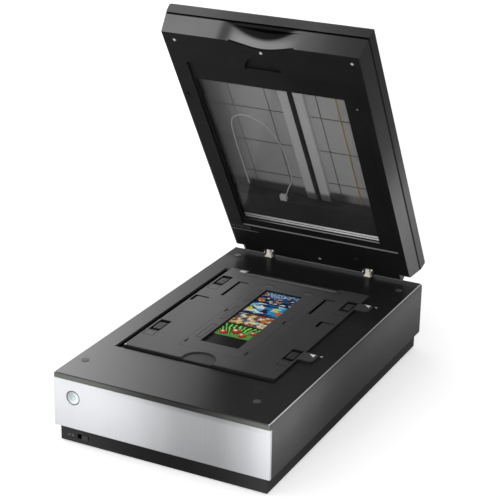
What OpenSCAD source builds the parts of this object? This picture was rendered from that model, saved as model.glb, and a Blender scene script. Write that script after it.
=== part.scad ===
// Flatbed scanner for film and photographs. The lid stands open and the film holder lies on the glass.
// X runs to the right, Y to the back and Z up. The origin lies under the middle of the open object.

/* [Case] */
// Width of the case
case_w = 308; // [300:1:320]
// Depth of the case, front face to back face
case_d = 498; // [494:1:510]
// Height of the case top above the underside of the bottom tray
case_h = 98; // [96:1:104]
// Height of the bottom tray that shows under the case walls
tray_h = 22; // [18:1:24]
// How far the bottom tray stands in from the case walls
tray_inset = 5.5; // [5:0.5:7]
// Thickness of the case walls and the case top
wall = 3; // [2.6:0.1:3.2]
// Thickness of the tray walls and floor
tray_wall = 2.5; // [2:0.1:3]
// Height of the rubber feet
foot_h = 2; // [1.8:0.1:3]
// Width of the bevel along the top side edges of the case
edge_bevel = 2.5; // [1:0.5:3]
// Height of the dark trim strip over the front panel
trim_h = 6; // [5:0.5:8]
// Thickness of the silver front panel
panel_t = 2.5; // [2:0.1:3]
// Depth of the front panel's returns round the corners
panel_return = 4; // [3:0.5:6]
// Gap between mouldings that meet
seam = 0.8; // [0.5:0.1:1.2]

/* [Power button] */
// Distance of the button from the left end of the front panel
button_from_left = 28.5; // [24:0.5:40]
// Height of the button above the underside of the tray
button_up = 66; // [50:1:76]
// Radius of the button face
button_r = 8.6; // [7:0.1:10]
// Travel of the button
button_travel = 0.8; // [0.5:0.1:1.2]

/* [Glass] */
// Width of the opening over the glass
opening_w = 233; // [231:1:240]
// Depth of the opening over the glass
opening_d = 315; // [313:1:320]
// Middle of the opening, right of the case's middle
opening_x = -8.5; // [-10:0.5:-8]
// Front edge of the opening behind the front face
opening_y = 101; // [98:1:102]
// Thickness of the glass
glass_t = 3; // [2.5:0.1:4]
// Thickness of the gasket over the glass
gasket_t = 1; // [0.8:0.1:1.5]
// How far the glass reaches under the case top
glass_lap = 6; // [4:0.5:8]

/* [Lid] */
// Angle at which the lid stands open
lid_open = 59; // [0:1:80]
// Gap between the closed lid and the case top
lid_gap = 1; // [0.8:0.1:1.5]
// Length of the lid's inner face
lid_len = 437; // [436:1:440]
// Width of the lid's inner face
lid_w = 283; // [281:1:290]
// Thickness of the lid at its edge
lid_edge_t = 44; // [43:1:46]
// Rise of the crowned top above the edge
crown = 7; // [4:0.5:9]
// Height of the seam between the two lid shells above the inner face
seam_up = 27; // [26:0.5:28]
// How much wider the lid is at the seam, each side
flare = 3.5; // [3:0.1:5]
// How far the front wall leans out up to the seam
front_rake = 7.5; // [6:0.5:9]
// How far the back wall leans out up to the seam
back_rake = 13.5; // [13:0.5:14]
// Wall thickness of the lid shells
lid_wall = 2.4; // [2:0.1:2.6]
// Thickness of the black inner panel
inner_t = 2.4; // [2:0.1:2.6]
// Depth of the inner panel's sunk field, where a mat fits
field_sink = 3.6; // [3:0.1:4]
// Length of the lid window
window_len = 290; // [284:1:291]
// Width of the lid window
window_w = 218; // [210:1:220]
// Back edge of the lid window from the back edge of the inner face
window_from_back = 62; // [60:1:64]
// Middle of the lid window, right of the lid's middle
window_x = -6; // [-8:0.5:-5]
// Height of the back plate above the inner face
plate_up = 30; // [30:0.2:31]
// Depth of the finger scoop, square to the front wall
scoop_depth = 10; // [7:0.5:11]
// Half the length of the finger scoop
scoop_half = 60; // [50:1:70]

/* [Hinges] */
// Height of the hinge axis above the case top
hinge_up = 4.6; // [4.6:0.1:5]
// Distance of the hinge axis behind the lid's inner face
hinge_back = 12.5; // [12.5:0.1:12.8]
// Distance of the hinge axis from the back face
hinge_from_back = 7.2; // [6:0.1:8]
// Places of the two hinge posts along X
post_x = [-89, 73]; // [-100:1:100]
// Width of the posts' legs
leg_w = 9; // [8:0.5:9.5]
// Depth of the posts' legs
leg_d = 7; // [6:0.5:8]
// Length of the legs inside the case
leg_len = 42; // [38:1:44]
// Radius of the hinge pins
pin_r = 1.6; // [1.4:0.1:1.8]

/* [Film holder] */
// Width of the film holder
holder_w = 220; // [219:1:222]
// Depth of the film holder
holder_d = 307; // [306:1:308]
// Middle of the film holder, right of the case's middle
holder_x = -3; // [-4:0.5:-2]
// Front edge of the film holder behind the edge of the glass opening
holder_from_edge = 4; // [2:0.5:5]
// Height of the holder's top above the case top
holder_up = 3.5; // [3:0.1:3.5]
// Thickness of the holder's top plate
holder_t = 2.2; // [2:0.1:2.4]
// Width of the film gate
gate_w = 56.5; // [54:0.5:57]
// Length of the film gate
gate_len = 197; // [190:1:200]
// Width of the roll film
film_w = 61.5; // [61:0.1:62]
// Pitch of the pictures on the film
frame_pitch = 42; // [41:0.5:42]
// Length of one height adjuster
adjuster_len = 20; // [16:1:22]

/* [Drive] */
// Radius of the guide rod of the scan carriage
rod_r = 4; // [3:0.5:5]
// Length of the scan carriage along its travel
carriage_len = 62; // [50:1:64]
// Radius of the belt pulleys in the case
pulley_r = 6; // [5:0.5:7]
// Length of the light carriage along its travel
light_len = 60; // [50:1:62]
// Travel of the light carriage
light_travel = 280; // [250:1:290]
// Radius of the belt pulleys in the lid
lid_pulley_r = 5.9; // [5:0.1:6]
// Thickness of the drive belts
belt_t = 1.2; // [1:0.1:1.4]

/* [Hidden] */
$fn = 48;
fit = 0.3;          // gap round a part that sits in another
run = 0.05;         // radial clearance of a turning fit
swing = 0.6;        // gap where a hinged edge swings past its neighbour
half_w = case_w / 2;
top_z = foot_h + case_h;
tray_top_z = foot_h + tray_h;
floor_z = foot_h + tray_wall;
hinge_z = top_z + hinge_up;
hinge_y = case_d - hinge_from_back;
hinge_w = hinge_up - lid_gap;
back_in = case_d - wall;
side_in = half_w - wall;

// glass and what holds it
glass_top = top_z - wall - gasket_t;
glass_bot = glass_top - glass_t;
open_x0 = opening_x - opening_w / 2;
open_x1 = opening_x + opening_w / 2;
open_y1 = opening_y + opening_d;
frame_z = glass_bot - 3;

// lid shells, measured in the lid: v forward from the back edge of the inner face, w up from it
lid_half = lid_w / 2;
cover_gap = 1.3;
cover_base = seam_up + cover_gap;
cover_t = 2.2;
top_flare = 1.6;
front_over = front_rake + 1.6;
back_over = back_rake + 1.5;
lip_t = 3;
plate_t = 1.5;
rebate = 1.2;
tongue_x = [-130, 127];
tongue_back = hinge_back + 0.3;
field = [[-118, 50], [131, 386]];
field_up = field_sink + inner_t;
window = [[window_x - window_w / 2, window_from_back],
          [window_x + window_w / 2, window_from_back + window_len]];
pocket_r = 13.5;
pocket_half = 10;
ear_in = 5.9;
ear_t = 2.2;
screw_spots = [[-125.5, 424], [0.8, 421], [129, 424], [-2, 2.5]];
dark_screw = [59.5, 19.8];

// back of the open lid, which sets the middle of the whole object
function back_edge(v, w) = hinge_y - (v + hinge_back) * cos(lid_open)
    + (w - hinge_w) * sin(lid_open);
lid_back_y = max([for (p = cover_back_points(0)) back_edge(p[0], p[1])]);
front_y = -max(lid_back_y, case_d) / 2;

// film holder
holder_top = top_z + holder_up;
holder_bot = glass_top + 0.2;
holder_y0 = opening_y + holder_from_edge;
holder_y1 = holder_y0 + holder_d;
gate_x0 = holder_x - gate_w / 2;
gate_x1 = holder_x + gate_w / 2;
gate_y0 = holder_y0 + 59;
gate_y1 = gate_y0 + gate_len;
cover_x0 = gate_x0 - 19;
cover_x1 = gate_x1 + 19;
cover_y0 = gate_y0 - 24;
cover_y1 = gate_y1 + 11;
cover_bot = holder_top - 2.6;
cover_axis_y = cover_y1 + 4;
cover_axis_z = holder_top - 1.6;
film_floor = glass_top + 3;
insert_t = 0.8;
film_bot = film_floor + insert_t + 0.1;
film_t = 0.18;
tongue_w = 13;
tongues_x = [gate_x0 + 4.5 - tongue_w, gate_x1 - 4.5];
adjuster_off = 99.3;
adjuster_w = 10.5;
pocket_w = 16;
adjuster_mid = [holder_y0 + 76.5, holder_y0 + 257];
notch_x = [holder_x - 81, holder_x + 65];
notch_y = holder_y1 - 9.6;
cover_barrel_r = 2.2;
pocket_len = 36;
tab_out = 19.7;
tabs_y = [[holder_y0 + 69, holder_y0 + 93], [holder_y0 + 252, holder_y0 + 275]];

// scan carriage and its drive
carriage_y1 = hinge_y - 14;
carriage_y0 = carriage_y1 - carriage_len;
carriage_z = [foot_h + 49, frame_z - 1.5];
carriage_x = [36 - half_w, half_w - 36];
rod_x = carriage_x[0] - 12;
rod_z = foot_h + 58;
rod_y = [tray_inset + 20.5, carriage_y1 + 4];
belt_x = carriage_x[0] + 18;
belt_z = foot_h + 37;
belt_h = 6;
belt_y = [rod_y[0] + 16, carriage_y0 + 37.2];
rail_x = carriage_x[1] + 9;
rail_y = [rod_y[0] - 6, back_in - 12];
rail_z = carriage_z[0] - 1;
board = [[half_w - 144, back_in - 155], [half_w - 42, back_in - 7]];
board_z = foot_h + 28;
board_t = 1.6;

// light carriage and its drive
light_v0 = window_from_back - 10;
light_v1 = light_v0 + light_len;
light_w0 = 10.5;
light_x = [-120, 110];
rail_in_lid = [-7.8, 28.8];
rail_v = [18, light_v1 + light_travel + 22];
rail_w = 24;
rail_slot = [6.7, 14.1];
lid_belt_x = 16;
lid_belt_v = [rail_v[0] + 14, rail_v[1] - 12];
lid_belt_h = 4;
lid_belt_w = 25;
plate_seams_v = [for (i = [0 : 3]) window_from_back + 17 + i * 67];
plate_seams_x = [window_x - 26, window_x + 51];

// white lamp cable, held along the back plate: x, v, w
cable_r = 0.8;
cable_w = plate_up - cable_r - fit;
cable_path = [[-104, 116], [-104, 150], [-103.5, 185], [-103, 220], [-101, 243], [-96, 255], [-87, 262],
              [-76, 264], [-65, 262], [-54, 256], [-44, 246], [-36.5, 231], [-31.5, 215], [-29, 200],
              [-27, 183], [-26.5, 165], [-28, 148], [-31, 134]];
// tail of the cable on the carriage: x, v, w
tail_path = [[-31, 134, 26.7], [-31.6, 133.4, 24], [-32.4, 132.4, 21], [-33, 131, 18.4], [-33.5, 128, 16],
             [-35.5, 124, 13.8], [-37.5, 120.5, 13]];

// ---- helpers ----

// places what is measured from the front face
module at_front() { translate([0, front_y, 0]) children(); }

// places what is measured in the lid
module in_lid() {
    translate([0, front_y + hinge_y, hinge_z]) rotate([-lid_open, 0, 0])
        translate([0, -hinge_back, -hinge_w]) children();
}

// a box between two corners
module box(from, to) { translate(from) cube(to - from); }

// a box in the lid, its corners given as x, v, w
module lid_box(from, to) {
    translate([from.x, -to.y, from.z]) cube([to.x - from.x, to.y - from.y, to.z - from.z]);
}

// a round bar across a wall, along w
module lid_disc(x, v, w0, w1, r) { translate([x, -v, w0]) cylinder(h = w1 - w0, r = r); }

// a round bar along X
module bar_x(x0, x1, y, z, r) {
    translate([x0, y, z]) rotate([0, 90, 0]) cylinder(h = x1 - x0, r = r);
}

// a round bar along Y
module bar_y(x, y0, y1, z, r) {
    translate([x, y1, z]) rotate([90, 0, 0]) cylinder(h = y1 - y0, r = r);
}

// an outline with round ends, along Y
module belt_outline(len, r) {
    translate([-r, 0]) square([2 * r, len]);
    circle(r);
    translate([0, len]) circle(r);
}

// a closed belt round two pulleys of radius r
module belt_loop(len, r, t, h) {
    linear_extrude(h) difference() {
        belt_outline(len, r + t);
        belt_outline(len, r);
    }
}

function unit(v) = v / norm(v);
function dir(p, i) = unit(p[min(i + 1, len(p) - 1)] - p[max(i - 1, 0)]);

// a round cable swept along points, with its rings square to the path
module cable(path, r, sides = 8) {
    n = len(path);
    rings = [for (i = [0 : n - 1]) let (d = dir(path, i), a = unit(cross(d, [0, 0.3, 1])), b = cross(d, a))
        for (k = [0 : sides - 1]) path[i] + r * (cos(360 * k / sides) * a + sin(360 * k / sides) * b)];
    sides_faces = [for (i = [0 : n - 2]) for (k = [0 : sides - 1]) let (m = (k + 1) % sides)
        each [[i * sides + k, (i + 1) * sides + m, i * sides + m],
              [i * sides + k, (i + 1) * sides + k, (i + 1) * sides + m]]];
    ends = [[for (k = [0 : sides - 1]) k], [for (k = [sides - 1 : -1 : 0]) (n - 1) * sides + k]];
    polyhedron(rings, concat(sides_faces, ends));
}

// ---- bottom tray and feet ----

tray_x = half_w - tray_inset;
tray_y = [tray_inset, case_d - tray_inset];
rim_h = 2.5;
foot_spots = [for (x = [22 - tray_x, tray_x - 22], y = [30, case_d - 30]) [x, y]];
tray_screws = [for (x = [40 - half_w, half_w - 40], y = [70, case_d - 98]) [x, y]];
lock_slot = [[30 - half_w, 47 - half_w], [foot_h + 6, foot_h + 13]];
lock_len = 9;
lock_travel = 6;

module bottom_tray() {
    color("#1a1a1c") at_front() difference() {
        union() {
            difference() {
                union() {
                    box([-tray_x, tray_y[0], foot_h], [tray_x, tray_y[1], tray_top_z]);
                    box([-side_in + fit, tray_y[0], tray_top_z],
                        [side_in - fit, back_in - fit, tray_top_z + rim_h]);
                }
                box([-tray_x + tray_wall, tray_y[0] + tray_wall, floor_z],
                    [tray_x - tray_wall, tray_y[1] - tray_wall, tray_top_z + rim_h + 1]);
            }
            for (y = rod_y) box([rod_x - 8, y - 3, floor_z - 1], [rod_x + 8, y + 3, rod_z + 9]);
            for (x = [board[0].x + 6, board[1].x - 6], y = [board[0].y + 6, board[1].y - 20])
                translate([x, y, floor_z - 1]) cylinder(h = board_z - floor_z + 1, r = 3);
            for (p = tray_screws) translate([p.x, p.y, floor_z - 1]) cylinder(h = 9, r = 4);
            translate([belt_x, belt_y[0], floor_z - 1]) cylinder(h = belt_z - 1.4 - floor_z + 1, r = 5);
            translate([belt_x, belt_y[0], floor_z]) cylinder(h = belt_z + belt_h + 2 - floor_z, r = 2);
            for (x = [-15, 15]) box([belt_x + x - 3, belt_y[1] - 18, floor_z - 1],
                                    [belt_x + x + 3, belt_y[1] + 18, floor_z + 2]);
        }
        for (y = rod_y) bar_y(rod_x, y - 4, y + 4, rod_z, rod_r + run);
        box([lock_slot[0][0], 0, lock_slot[1][0]], [lock_slot[0][1], 20, lock_slot[1][1]]);
        for (p = tray_screws) translate([p.x, p.y, foot_h - 1]) cylinder(h = 8, r = 1.6);
    }
}

module rubber_feet() {
    color("#2b2b2b") at_front() for (p = foot_spots) translate([p.x, p.y, 0]) cylinder(h = foot_h, r = 10);
}

module case_screws() {
    color("#55565a") at_front() for (p = tray_screws) translate([p.x, p.y, foot_h - 1.6]) {
        cylinder(h = 1.6, r = 3);
        cylinder(h = 7.5, r = 1.5);
    }
}

module transport_lock() {
    color("#303034") at_front() {
        x1 = lock_slot[0][1] - 1;
        z = [lock_slot[1][0] + fit, lock_slot[1][1] - fit];
        box([x1 - lock_len, tray_y[0] - 0.6, z[0]], [x1, tray_y[0] + tray_wall + fit, z[1]]);
        box([x1 - lock_len + 1, tray_y[0] + tray_wall + fit, z[0] - 1.5],
            [x1 - 1, tray_y[0] + tray_wall + 2.5, z[1] + 1.5]);
    }
}

// ---- case ----

leg_y = hinge_y - 2.8;
ports = [["power", board[0].x + 42, 12], ["usb", board[0].x + 20, 12], ["lid", board[0].x + 70, 24]];
port_z = board_z + board_t;
front_wall_y = panel_return + seam;
front_wall_t = 2.2;
button_x = -half_w + button_from_left;
button_z = foot_h + button_up;
port_h = 11;
vents = 10;
vent_pitch = 10;
vent_x = 44 - half_w;
vent_z = [top_z - 38, top_z - 16];

module upper_case() {
    color("#2c2d30") at_front() difference() {
        intersection() {
            translate([0, case_d, 0]) rotate([90, 0, 0]) linear_extrude(case_d) polygon([
                [-half_w, tray_top_z], [-half_w, top_z - edge_bevel], [-half_w + edge_bevel, top_z],
                [half_w - edge_bevel, top_z], [half_w, top_z - edge_bevel], [half_w, tray_top_z]]);
            union() {
                box([-half_w, 0, top_z - wall], [half_w, case_d, top_z]);
                box([-half_w, front_wall_y, tray_top_z], [half_w, case_d, top_z]);
            }
        }
        box([-side_in, front_wall_y + front_wall_t, tray_top_z - 1], [side_in, back_in, top_z - wall]);
        box([-side_in, -1, tray_top_z - 1], [side_in, back_in, tray_top_z + rim_h + 0.5]);
        bar_y(button_x, 0, 20, button_z, button_r + 4);
        box([-half_w - 1, -1, tray_top_z], [half_w + 1, front_wall_y, top_z - 1.2]);
        box([open_x0, opening_y, top_z - wall - 1], [open_x1, open_y1, top_z + 1]);
        for (x = post_x) box([x - leg_w / 2 - 0.6, leg_y - leg_d / 2 - 0.6, top_z - wall - 1],
                             [x + leg_w / 2 + 0.6, leg_y + leg_d / 2 + 0.6, top_z + 1]);
        for (p = ports) box([p[1] - fit, back_in - 1, port_z - fit],
                            [p[1] + p[2] + fit, case_d + 1, port_z + port_h + fit]);
        for (i = [0 : vents - 1]) box([vent_x + i * vent_pitch, back_in - 1, vent_z[0]],
                                      [vent_x + i * vent_pitch + 4, case_d + 1, vent_z[1]]);
    }
}

module front_trim() {
    color("#4a4b4d") at_front() {
        z1 = top_z - 1.2 - seam;
        box([-half_w + 0.5, 0.4, z1 - trim_h], [half_w - 0.5, panel_return, z1]);
        for (x = [24 - half_w, 0, half_w - 24])
            box([x - 4, panel_return - 1, z1 - 3], [x + 4, front_wall_y, z1]);
    }
}

panel_z = [tray_top_z + 0.4, top_z - 1.2 - seam - trim_h - 0.4];

module front_panel() {
    color("#c9ccd2") at_front() difference() {
        box([-half_w, 0, panel_z[0]], [half_w, panel_return, panel_z[1]]);
        box([-half_w + panel_t, panel_t, panel_z[0] - 1],
            [half_w - panel_t, panel_return + 1, panel_z[1] + 1]);
        bar_y(button_x, -1, panel_t + 1, button_z, button_r + 1.4);
    }
    peg_x = [half_w - 10, half_w / 2 - 7];
    color("#c9ccd2") at_front() for (s = [-1, 1], x = peg_x, z = [panel_z[0] + 8, panel_z[1] - 6])
        bar_y(s * x, panel_t - 0.5, front_wall_y, z, 2.5);
}

module power_ring() {
    color("#26272a") at_front() difference() {
        union() {
            bar_y(button_x, 0.2, panel_t + 0.2, button_z, button_r + 1.3);
            bar_y(button_x, panel_t + 0.1, panel_t + 2, button_z, button_r + 3);
        }
        bar_y(button_x, -1, panel_t + 3, button_z, button_r + 0.25);
    }
}

stem_y = 12;

module power_button() {
    color("#d4d6da") at_front() {
        bar_y(button_x, 0.3, 4.4, button_z, button_r);
        bar_y(button_x, 4.4, stem_y, button_z, 2.5);
        difference() {
            bar_y(button_x, panel_t + 2 + fit, panel_t + 3.4, button_z, button_r + 2);
            bar_y(button_x, 0, stem_y, button_z, button_r - 1);
        }
        difference() {
            bar_y(button_x, 3.6, panel_t + 3.4, button_z, button_r);
            bar_y(button_x, 3, stem_y, button_z, button_r - 1.2);
        }
    }
}

module switch_board() {
    color("#2f6b3c") at_front() {
        y = stem_y + button_travel + 0.2;
        bar_y(button_x, y, y + 1.6, button_z, 1.8);
        box([button_x - 3, y + 1.6, button_z - 3], [button_x + 3, y + 5, button_z + 3]);
        box([button_x - 14, y + 5, tray_top_z + rim_h + fit], [button_x + 14, y + 6.6, button_z + 12]);
        for (x = [button_x - 16, button_x + 12])
            box([x, y + 3, floor_z], [x + 4, y + 9, tray_top_z + rim_h + 8]);
    }
}

module glass_gasket() {
    color("#141416") at_front() difference() {
        box([open_x0 - 5, opening_y - 5, glass_top], [open_x1 + 5, open_y1 + 5, glass_top + gasket_t]);
        box([open_x0, opening_y, glass_top - 1], [open_x1, open_y1, top_z]);
    }
}

module platen_glass() {
    color("#9fb4b0", 0.35) at_front() box([open_x0 - glass_lap, opening_y - glass_lap, glass_bot],
                                          [open_x1 + glass_lap, open_y1 + glass_lap, glass_top]);
}

module platen_frame() {
    color("#1c1c1e") at_front() {
        lap = glass_lap + 4;
        x = [open_x0 - lap, open_x1 + lap];
        y = [opening_y - lap, open_y1 + lap];
        bar = 9;
        difference() {
            box([x[0], y[0], frame_z], [x[1], y[1], top_z - wall]);
            box([x[0] + 3.7, y[0] + 3.7, glass_bot], [x[1] - 3.7, y[1] - 3.7, top_z]);
            box([x[0] + bar, y[0] + bar, frame_z - 1], [x[1] - bar, y[1] - bar, top_z]);
        }
    }
}

bumper_spots = [[18.5 - half_w, 46], [half_w - 41.5, 46], [half_w - 20.5, case_d - 40],
                [21.5 - half_w, case_d - 30]];

module lid_bumpers() {
    color("#202022") at_front() for (p = bumper_spots) translate([p.x, p.y, top_z])
        cylinder(h = lid_gap - 0.2, r = 5);
}

module hinge_sockets() {
    color("#232326") at_front() for (x = post_x) difference() {
        box([x - leg_w / 2 - 4, leg_y - leg_d / 2 - 3, top_z - wall - leg_len - 5],
            [x + leg_w / 2 + 4, back_in, top_z - wall]);
        box([x - leg_w / 2 - fit, leg_y - leg_d / 2 - fit, top_z - wall - leg_len - 6],
            [x + leg_w / 2 + fit, leg_y + leg_d / 2 + fit, top_z]);
    }
}

// ---- base: drive, electronics ----

module guide_rod() { color("#b9bcc0") at_front() bar_y(rod_x, rod_y[0] - 3, rod_y[1] + 3, rod_z, rod_r); }

module support_rail() {
    color("#8f9398") at_front() {
        box([rail_x - 7, rail_y[0], rail_z - 1.5], [rail_x + 7, rail_y[1], rail_z]);
        box([rail_x - 1, rail_y[0], floor_z], [rail_x + 1, rail_y[1], rail_z - 1.5]);
    }
}

module drive_belt() {
    color("#222222") at_front() translate([belt_x, belt_y[0], belt_z])
        belt_loop(belt_y[1] - belt_y[0], pulley_r + run, belt_t, belt_h);
}

module drive_motor() {
    color("#7d8085") at_front() translate([belt_x, belt_y[1], 0]) {
        translate([0, 0, floor_z + 2]) cylinder(h = belt_z - 3 - floor_z - 2, r = 17);
        translate([0, 0, belt_z - 3]) cylinder(h = belt_h + 6, r = 2);
    }
}

// a pulley with two flanges, bored for its shaft
module pulley(r, h, bore, flange, side) {
    difference() {
        union() {
            cylinder(h = h, r = r);
            for (z = [-flange, h]) translate([0, 0, z]) cylinder(h = flange, r = r + side);
        }
        translate([0, 0, -flange - 1]) cylinder(h = h + 2 * flange + 2, r = bore);
    }
}

module drive_pulley() {
    color("#c8b98a") at_front() translate([belt_x, belt_y[1], belt_z - 0.2])
        pulley(pulley_r, belt_h + 0.4, 2 + run, 0.8, 2);
}

module idler_pulley() {
    color("#dcdcd4") at_front() translate([belt_x, belt_y[0], belt_z - 0.2])
        pulley(pulley_r, belt_h + 0.4, 2 + run, 0.8, 2);
}

module main_board() {
    color("#1f5a34") at_front() box(concat(board[0], board_z), concat(board[1], board_z + board_t));
}

// chips, coils and a connector on the board: corner from the board's corner, width, depth, height
chips = [[26, 40, 26, 26, 2], [64, 44, 16, 20, 2], [20, 90, 18, 12, 1.6], [6, 12, 8, 20, 6]];

module board_parts() {
    color("#232323") at_front() translate(concat(board[0], board_z + board_t)) {
        for (c = chips) translate([c[0], c[1], 0]) cube([c[2], c[3], c[4]]);
        for (i = [0 : 3]) translate([50 + i * 12, 96, 0]) cylinder(h = 12, r = 4);
    }
}

module port_body(name) {
    for (p = ports) if (p[0] == name) difference() {
        box([p[1], back_in - 14, port_z], [p[1] + p[2], case_d - 0.2, port_z + port_h]);
        children();
    }
}

module power_inlet() {
    color("#1d1d20") at_front() port_body("power") {
        bar_y(ports[0][1] + ports[0][2] / 2, case_d - 9, case_d + 1, port_z + port_h / 2, 4);
    }
    color("#c8c8c8") at_front()
        bar_y(ports[0][1] + ports[0][2] / 2, case_d - 10, case_d - 1.5, port_z + port_h / 2, 1);
}

module usb_port() {
    color("#b8babd") at_front() {
        x = ports[1][1];
        difference() {
            port_body("usb") {
                box([x + 1, case_d - 9, port_z + 1],
                    [x + ports[1][2] - 1, case_d + 1, port_z + port_h - 1]);
            }
        }
        box([x + 3.4, case_d - 10, port_z + 3.6],
            [x + ports[1][2] - 3.4, case_d - 2, port_z + port_h - 3.6]);
    }
}

module lid_port() {
    x = ports[2][1];
    color("#3a3b3e") at_front() {
        port_body("lid") {
            box([x + 1.5, case_d - 6, port_z + 1.5],
                [x + ports[2][2] - 1.5, case_d + 1, port_z + port_h - 1.5]);
        }
        box([x + 4, case_d - 7, port_z + 4], [x + ports[2][2] - 4, case_d - 1.5, port_z + port_h - 4]);
    }
}

ribbon_w = 16;
ribbon_t = 0.6;
ribbon_r = 11;
ribbon_x = board[0].x - 30;
ribbon_y0 = board[0].y - 190;
ribbon_y1 = board[0].y + 50;

module carriage_ribbon() {
    color("#d9d5c8") at_front() {
        x = [ribbon_x, ribbon_x + ribbon_w];
        z0 = floor_z + 0.2;
        z1 = z0 + 2 * ribbon_r;
        y1 = carriage_y0 + 20;
        box([x[0], ribbon_y0, z0 - ribbon_t / 2 + 0.3], [x[1], ribbon_y1, z0 + ribbon_t / 2 + 0.3]);
        box([x[0], ribbon_y0, z1 - ribbon_t / 2 + 0.3], [x[1], y1, z1 + ribbon_t / 2 + 0.3]);
        translate([x[0], ribbon_y0, z0 + ribbon_r + 0.3]) rotate([0, 90, 0]) rotate([0, 0, 180])
            rotate_extrude(angle = 180) translate([ribbon_r - ribbon_t / 2, 0])
                square([ribbon_t, ribbon_w]);
        box([x[0], y1 - ribbon_t, z1], [x[1], y1, carriage_z[0] - fit]);
        box([x[0], ribbon_y1 - ribbon_t, z0], [x[1], ribbon_y1, board_z + board_t + 1]);
        box([x[0], ribbon_y1 - ribbon_t, board_z + board_t],
            [board[0].x + 6, ribbon_y1 + 8, board_z + board_t + 1]);
    }
}

// ---- scan carriage ----

slit_y = carriage_y0 + 18;

module carriage_frame() {
    color("#26262a") at_front() difference() {
        union() {
            difference() {
                box([carriage_x[0], carriage_y0, carriage_z[0]],
                    [carriage_x[1], carriage_y1, carriage_z[1]]);
                box([carriage_x[0] + 2, carriage_y0 + 2, carriage_z[0] + 2],
                    [carriage_x[1] - 2, carriage_y1 - 2, carriage_z[1] - 2]);
                box([carriage_x[0] + 9, slit_y, carriage_z[1] - 3],
                    [carriage_x[1] - 9, slit_y + 7, carriage_z[1] + 1]);
            }
            box([rod_x - 9, carriage_y0, rod_z - 9], [carriage_x[0] + 1, carriage_y1, rod_z + 9]);
            box([carriage_x[1] - 1, carriage_y0 + 14, rail_z + fit],
                [rail_x + 6, carriage_y0 + 46, rail_z + 9]);
            box([belt_x + pulley_r + belt_t + run + 0.4, carriage_y0 + 15, belt_z],
                [belt_x + pulley_r + belt_t + 6, carriage_y0 + 33, carriage_z[0] + 1]);
        }
        bar_y(rod_x, carriage_y0 - 1, carriage_y1 + 1, rod_z, rod_r + run);
    }
}

module lamp_bars() {
    color("#f2f4ee") at_front() for (y = [slit_y - 7, slit_y + 9])
        box([carriage_x[0] + 6, y, carriage_z[1]], [carriage_x[1] - 6, y + 5, carriage_z[1] + 1]);
}

// a mirror strip across the carriage, tilted by a
module mirror_strip(y, z, a) {
    translate([carriage_x[0] + 2, y, z]) rotate([a, 0, 0]) translate([0, -5, 0])
        cube([carriage_x[1] - carriage_x[0] - 4, 10, 2]);
}

module scan_mirrors() {
    color("#cfd6da") at_front() {
        mirror_strip(slit_y + 4, carriage_z[0] + 8, 45);
        mirror_strip(carriage_y0 + 26, carriage_z[0] + 20, -20);
        mirror_strip(carriage_y0 + 9, carriage_z[0] + 22, 12);
    }
}

module lens_unit() {
    color("#3b3d42") at_front() {
        y = carriage_y1 - 26;
        difference() {
            bar_y(0, y, y + 16, carriage_z[0] + 25, 8);
            bar_y(0, y - 1, y + 2, carriage_z[0] + 25, 6);
        }
        box([-10, y + 2, carriage_z[0] + 2], [10, y + 14, carriage_z[0] + 18]);
    }
}

module sensor_board() {
    color("#27633a") at_front() {
        y = carriage_y1 - 8;
        box([-45, y, carriage_z[0] + 2], [45, y + 1.6, carriage_z[1] - 3]);
        box([-20, y - 1.8, carriage_z[0] + 20], [20, y, carriage_z[0] + 30]);
    }
}

// ---- hinges ----

collar_w = leg_w + 1.8;
neck_w = 8;
neck_d = 6.4;
neck_top = 13.5;

module hinge_post(x) {
    color("#d8d2bf") at_front() difference() {
        union() {
            box([x - leg_w / 2, leg_y - leg_d / 2, top_z - wall - leg_len],
                [x + leg_w / 2, leg_y + leg_d / 2, top_z + 0.4]);
            box([x - collar_w / 2, leg_y - leg_d / 2 - 1.2, top_z + 0.2],
                [x + collar_w / 2, leg_y + leg_d / 2 + 1.2, top_z + 1.9]);
            translate([x, hinge_y, 0]) rotate([90, 0, 0]) linear_extrude(neck_d) polygon([
                [-neck_w / 2, top_z + 1], [-neck_w / 2, top_z + 4], [-neck_w / 2 + 1, top_z + 6],
                [-neck_w / 2 + 1.3, top_z + neck_top - 1.5], [-neck_w / 2 + 2.2, top_z + neck_top],
                [neck_w / 2 - 2.2, top_z + neck_top], [neck_w / 2 - 1.3, top_z + neck_top - 1.5],
                [neck_w / 2 - 1, top_z + 6], [neck_w / 2, top_z + 4], [neck_w / 2, top_z + 1]]);
            bar_x(x - neck_w / 2, x + neck_w / 2, hinge_y, hinge_z, 3.5);
        }
        bar_x(x - neck_w, x + neck_w, hinge_y, hinge_z, pin_r + run);
    }
}

module hinge_post_left() { hinge_post(post_x[0]); }

module hinge_post_right() { hinge_post(post_x[1]); }

module hinge_pins() {
    color("#a9acb0") at_front() for (x = post_x) {
        out = ear_in + ear_t;
        bar_x(x - out - 0.5, x + out + 0.4, hinge_y, hinge_z, pin_r);
        bar_x(x + out + 0.3, x + out + 1.2, hinge_y, hinge_z, pin_r + 1);
    }
}

flange_t = 1.5;
flange_in = lid_wall + 6;
bracket_w = [seam_up - flange_t - 2.1, seam_up - flange_t - 0.01];

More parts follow.
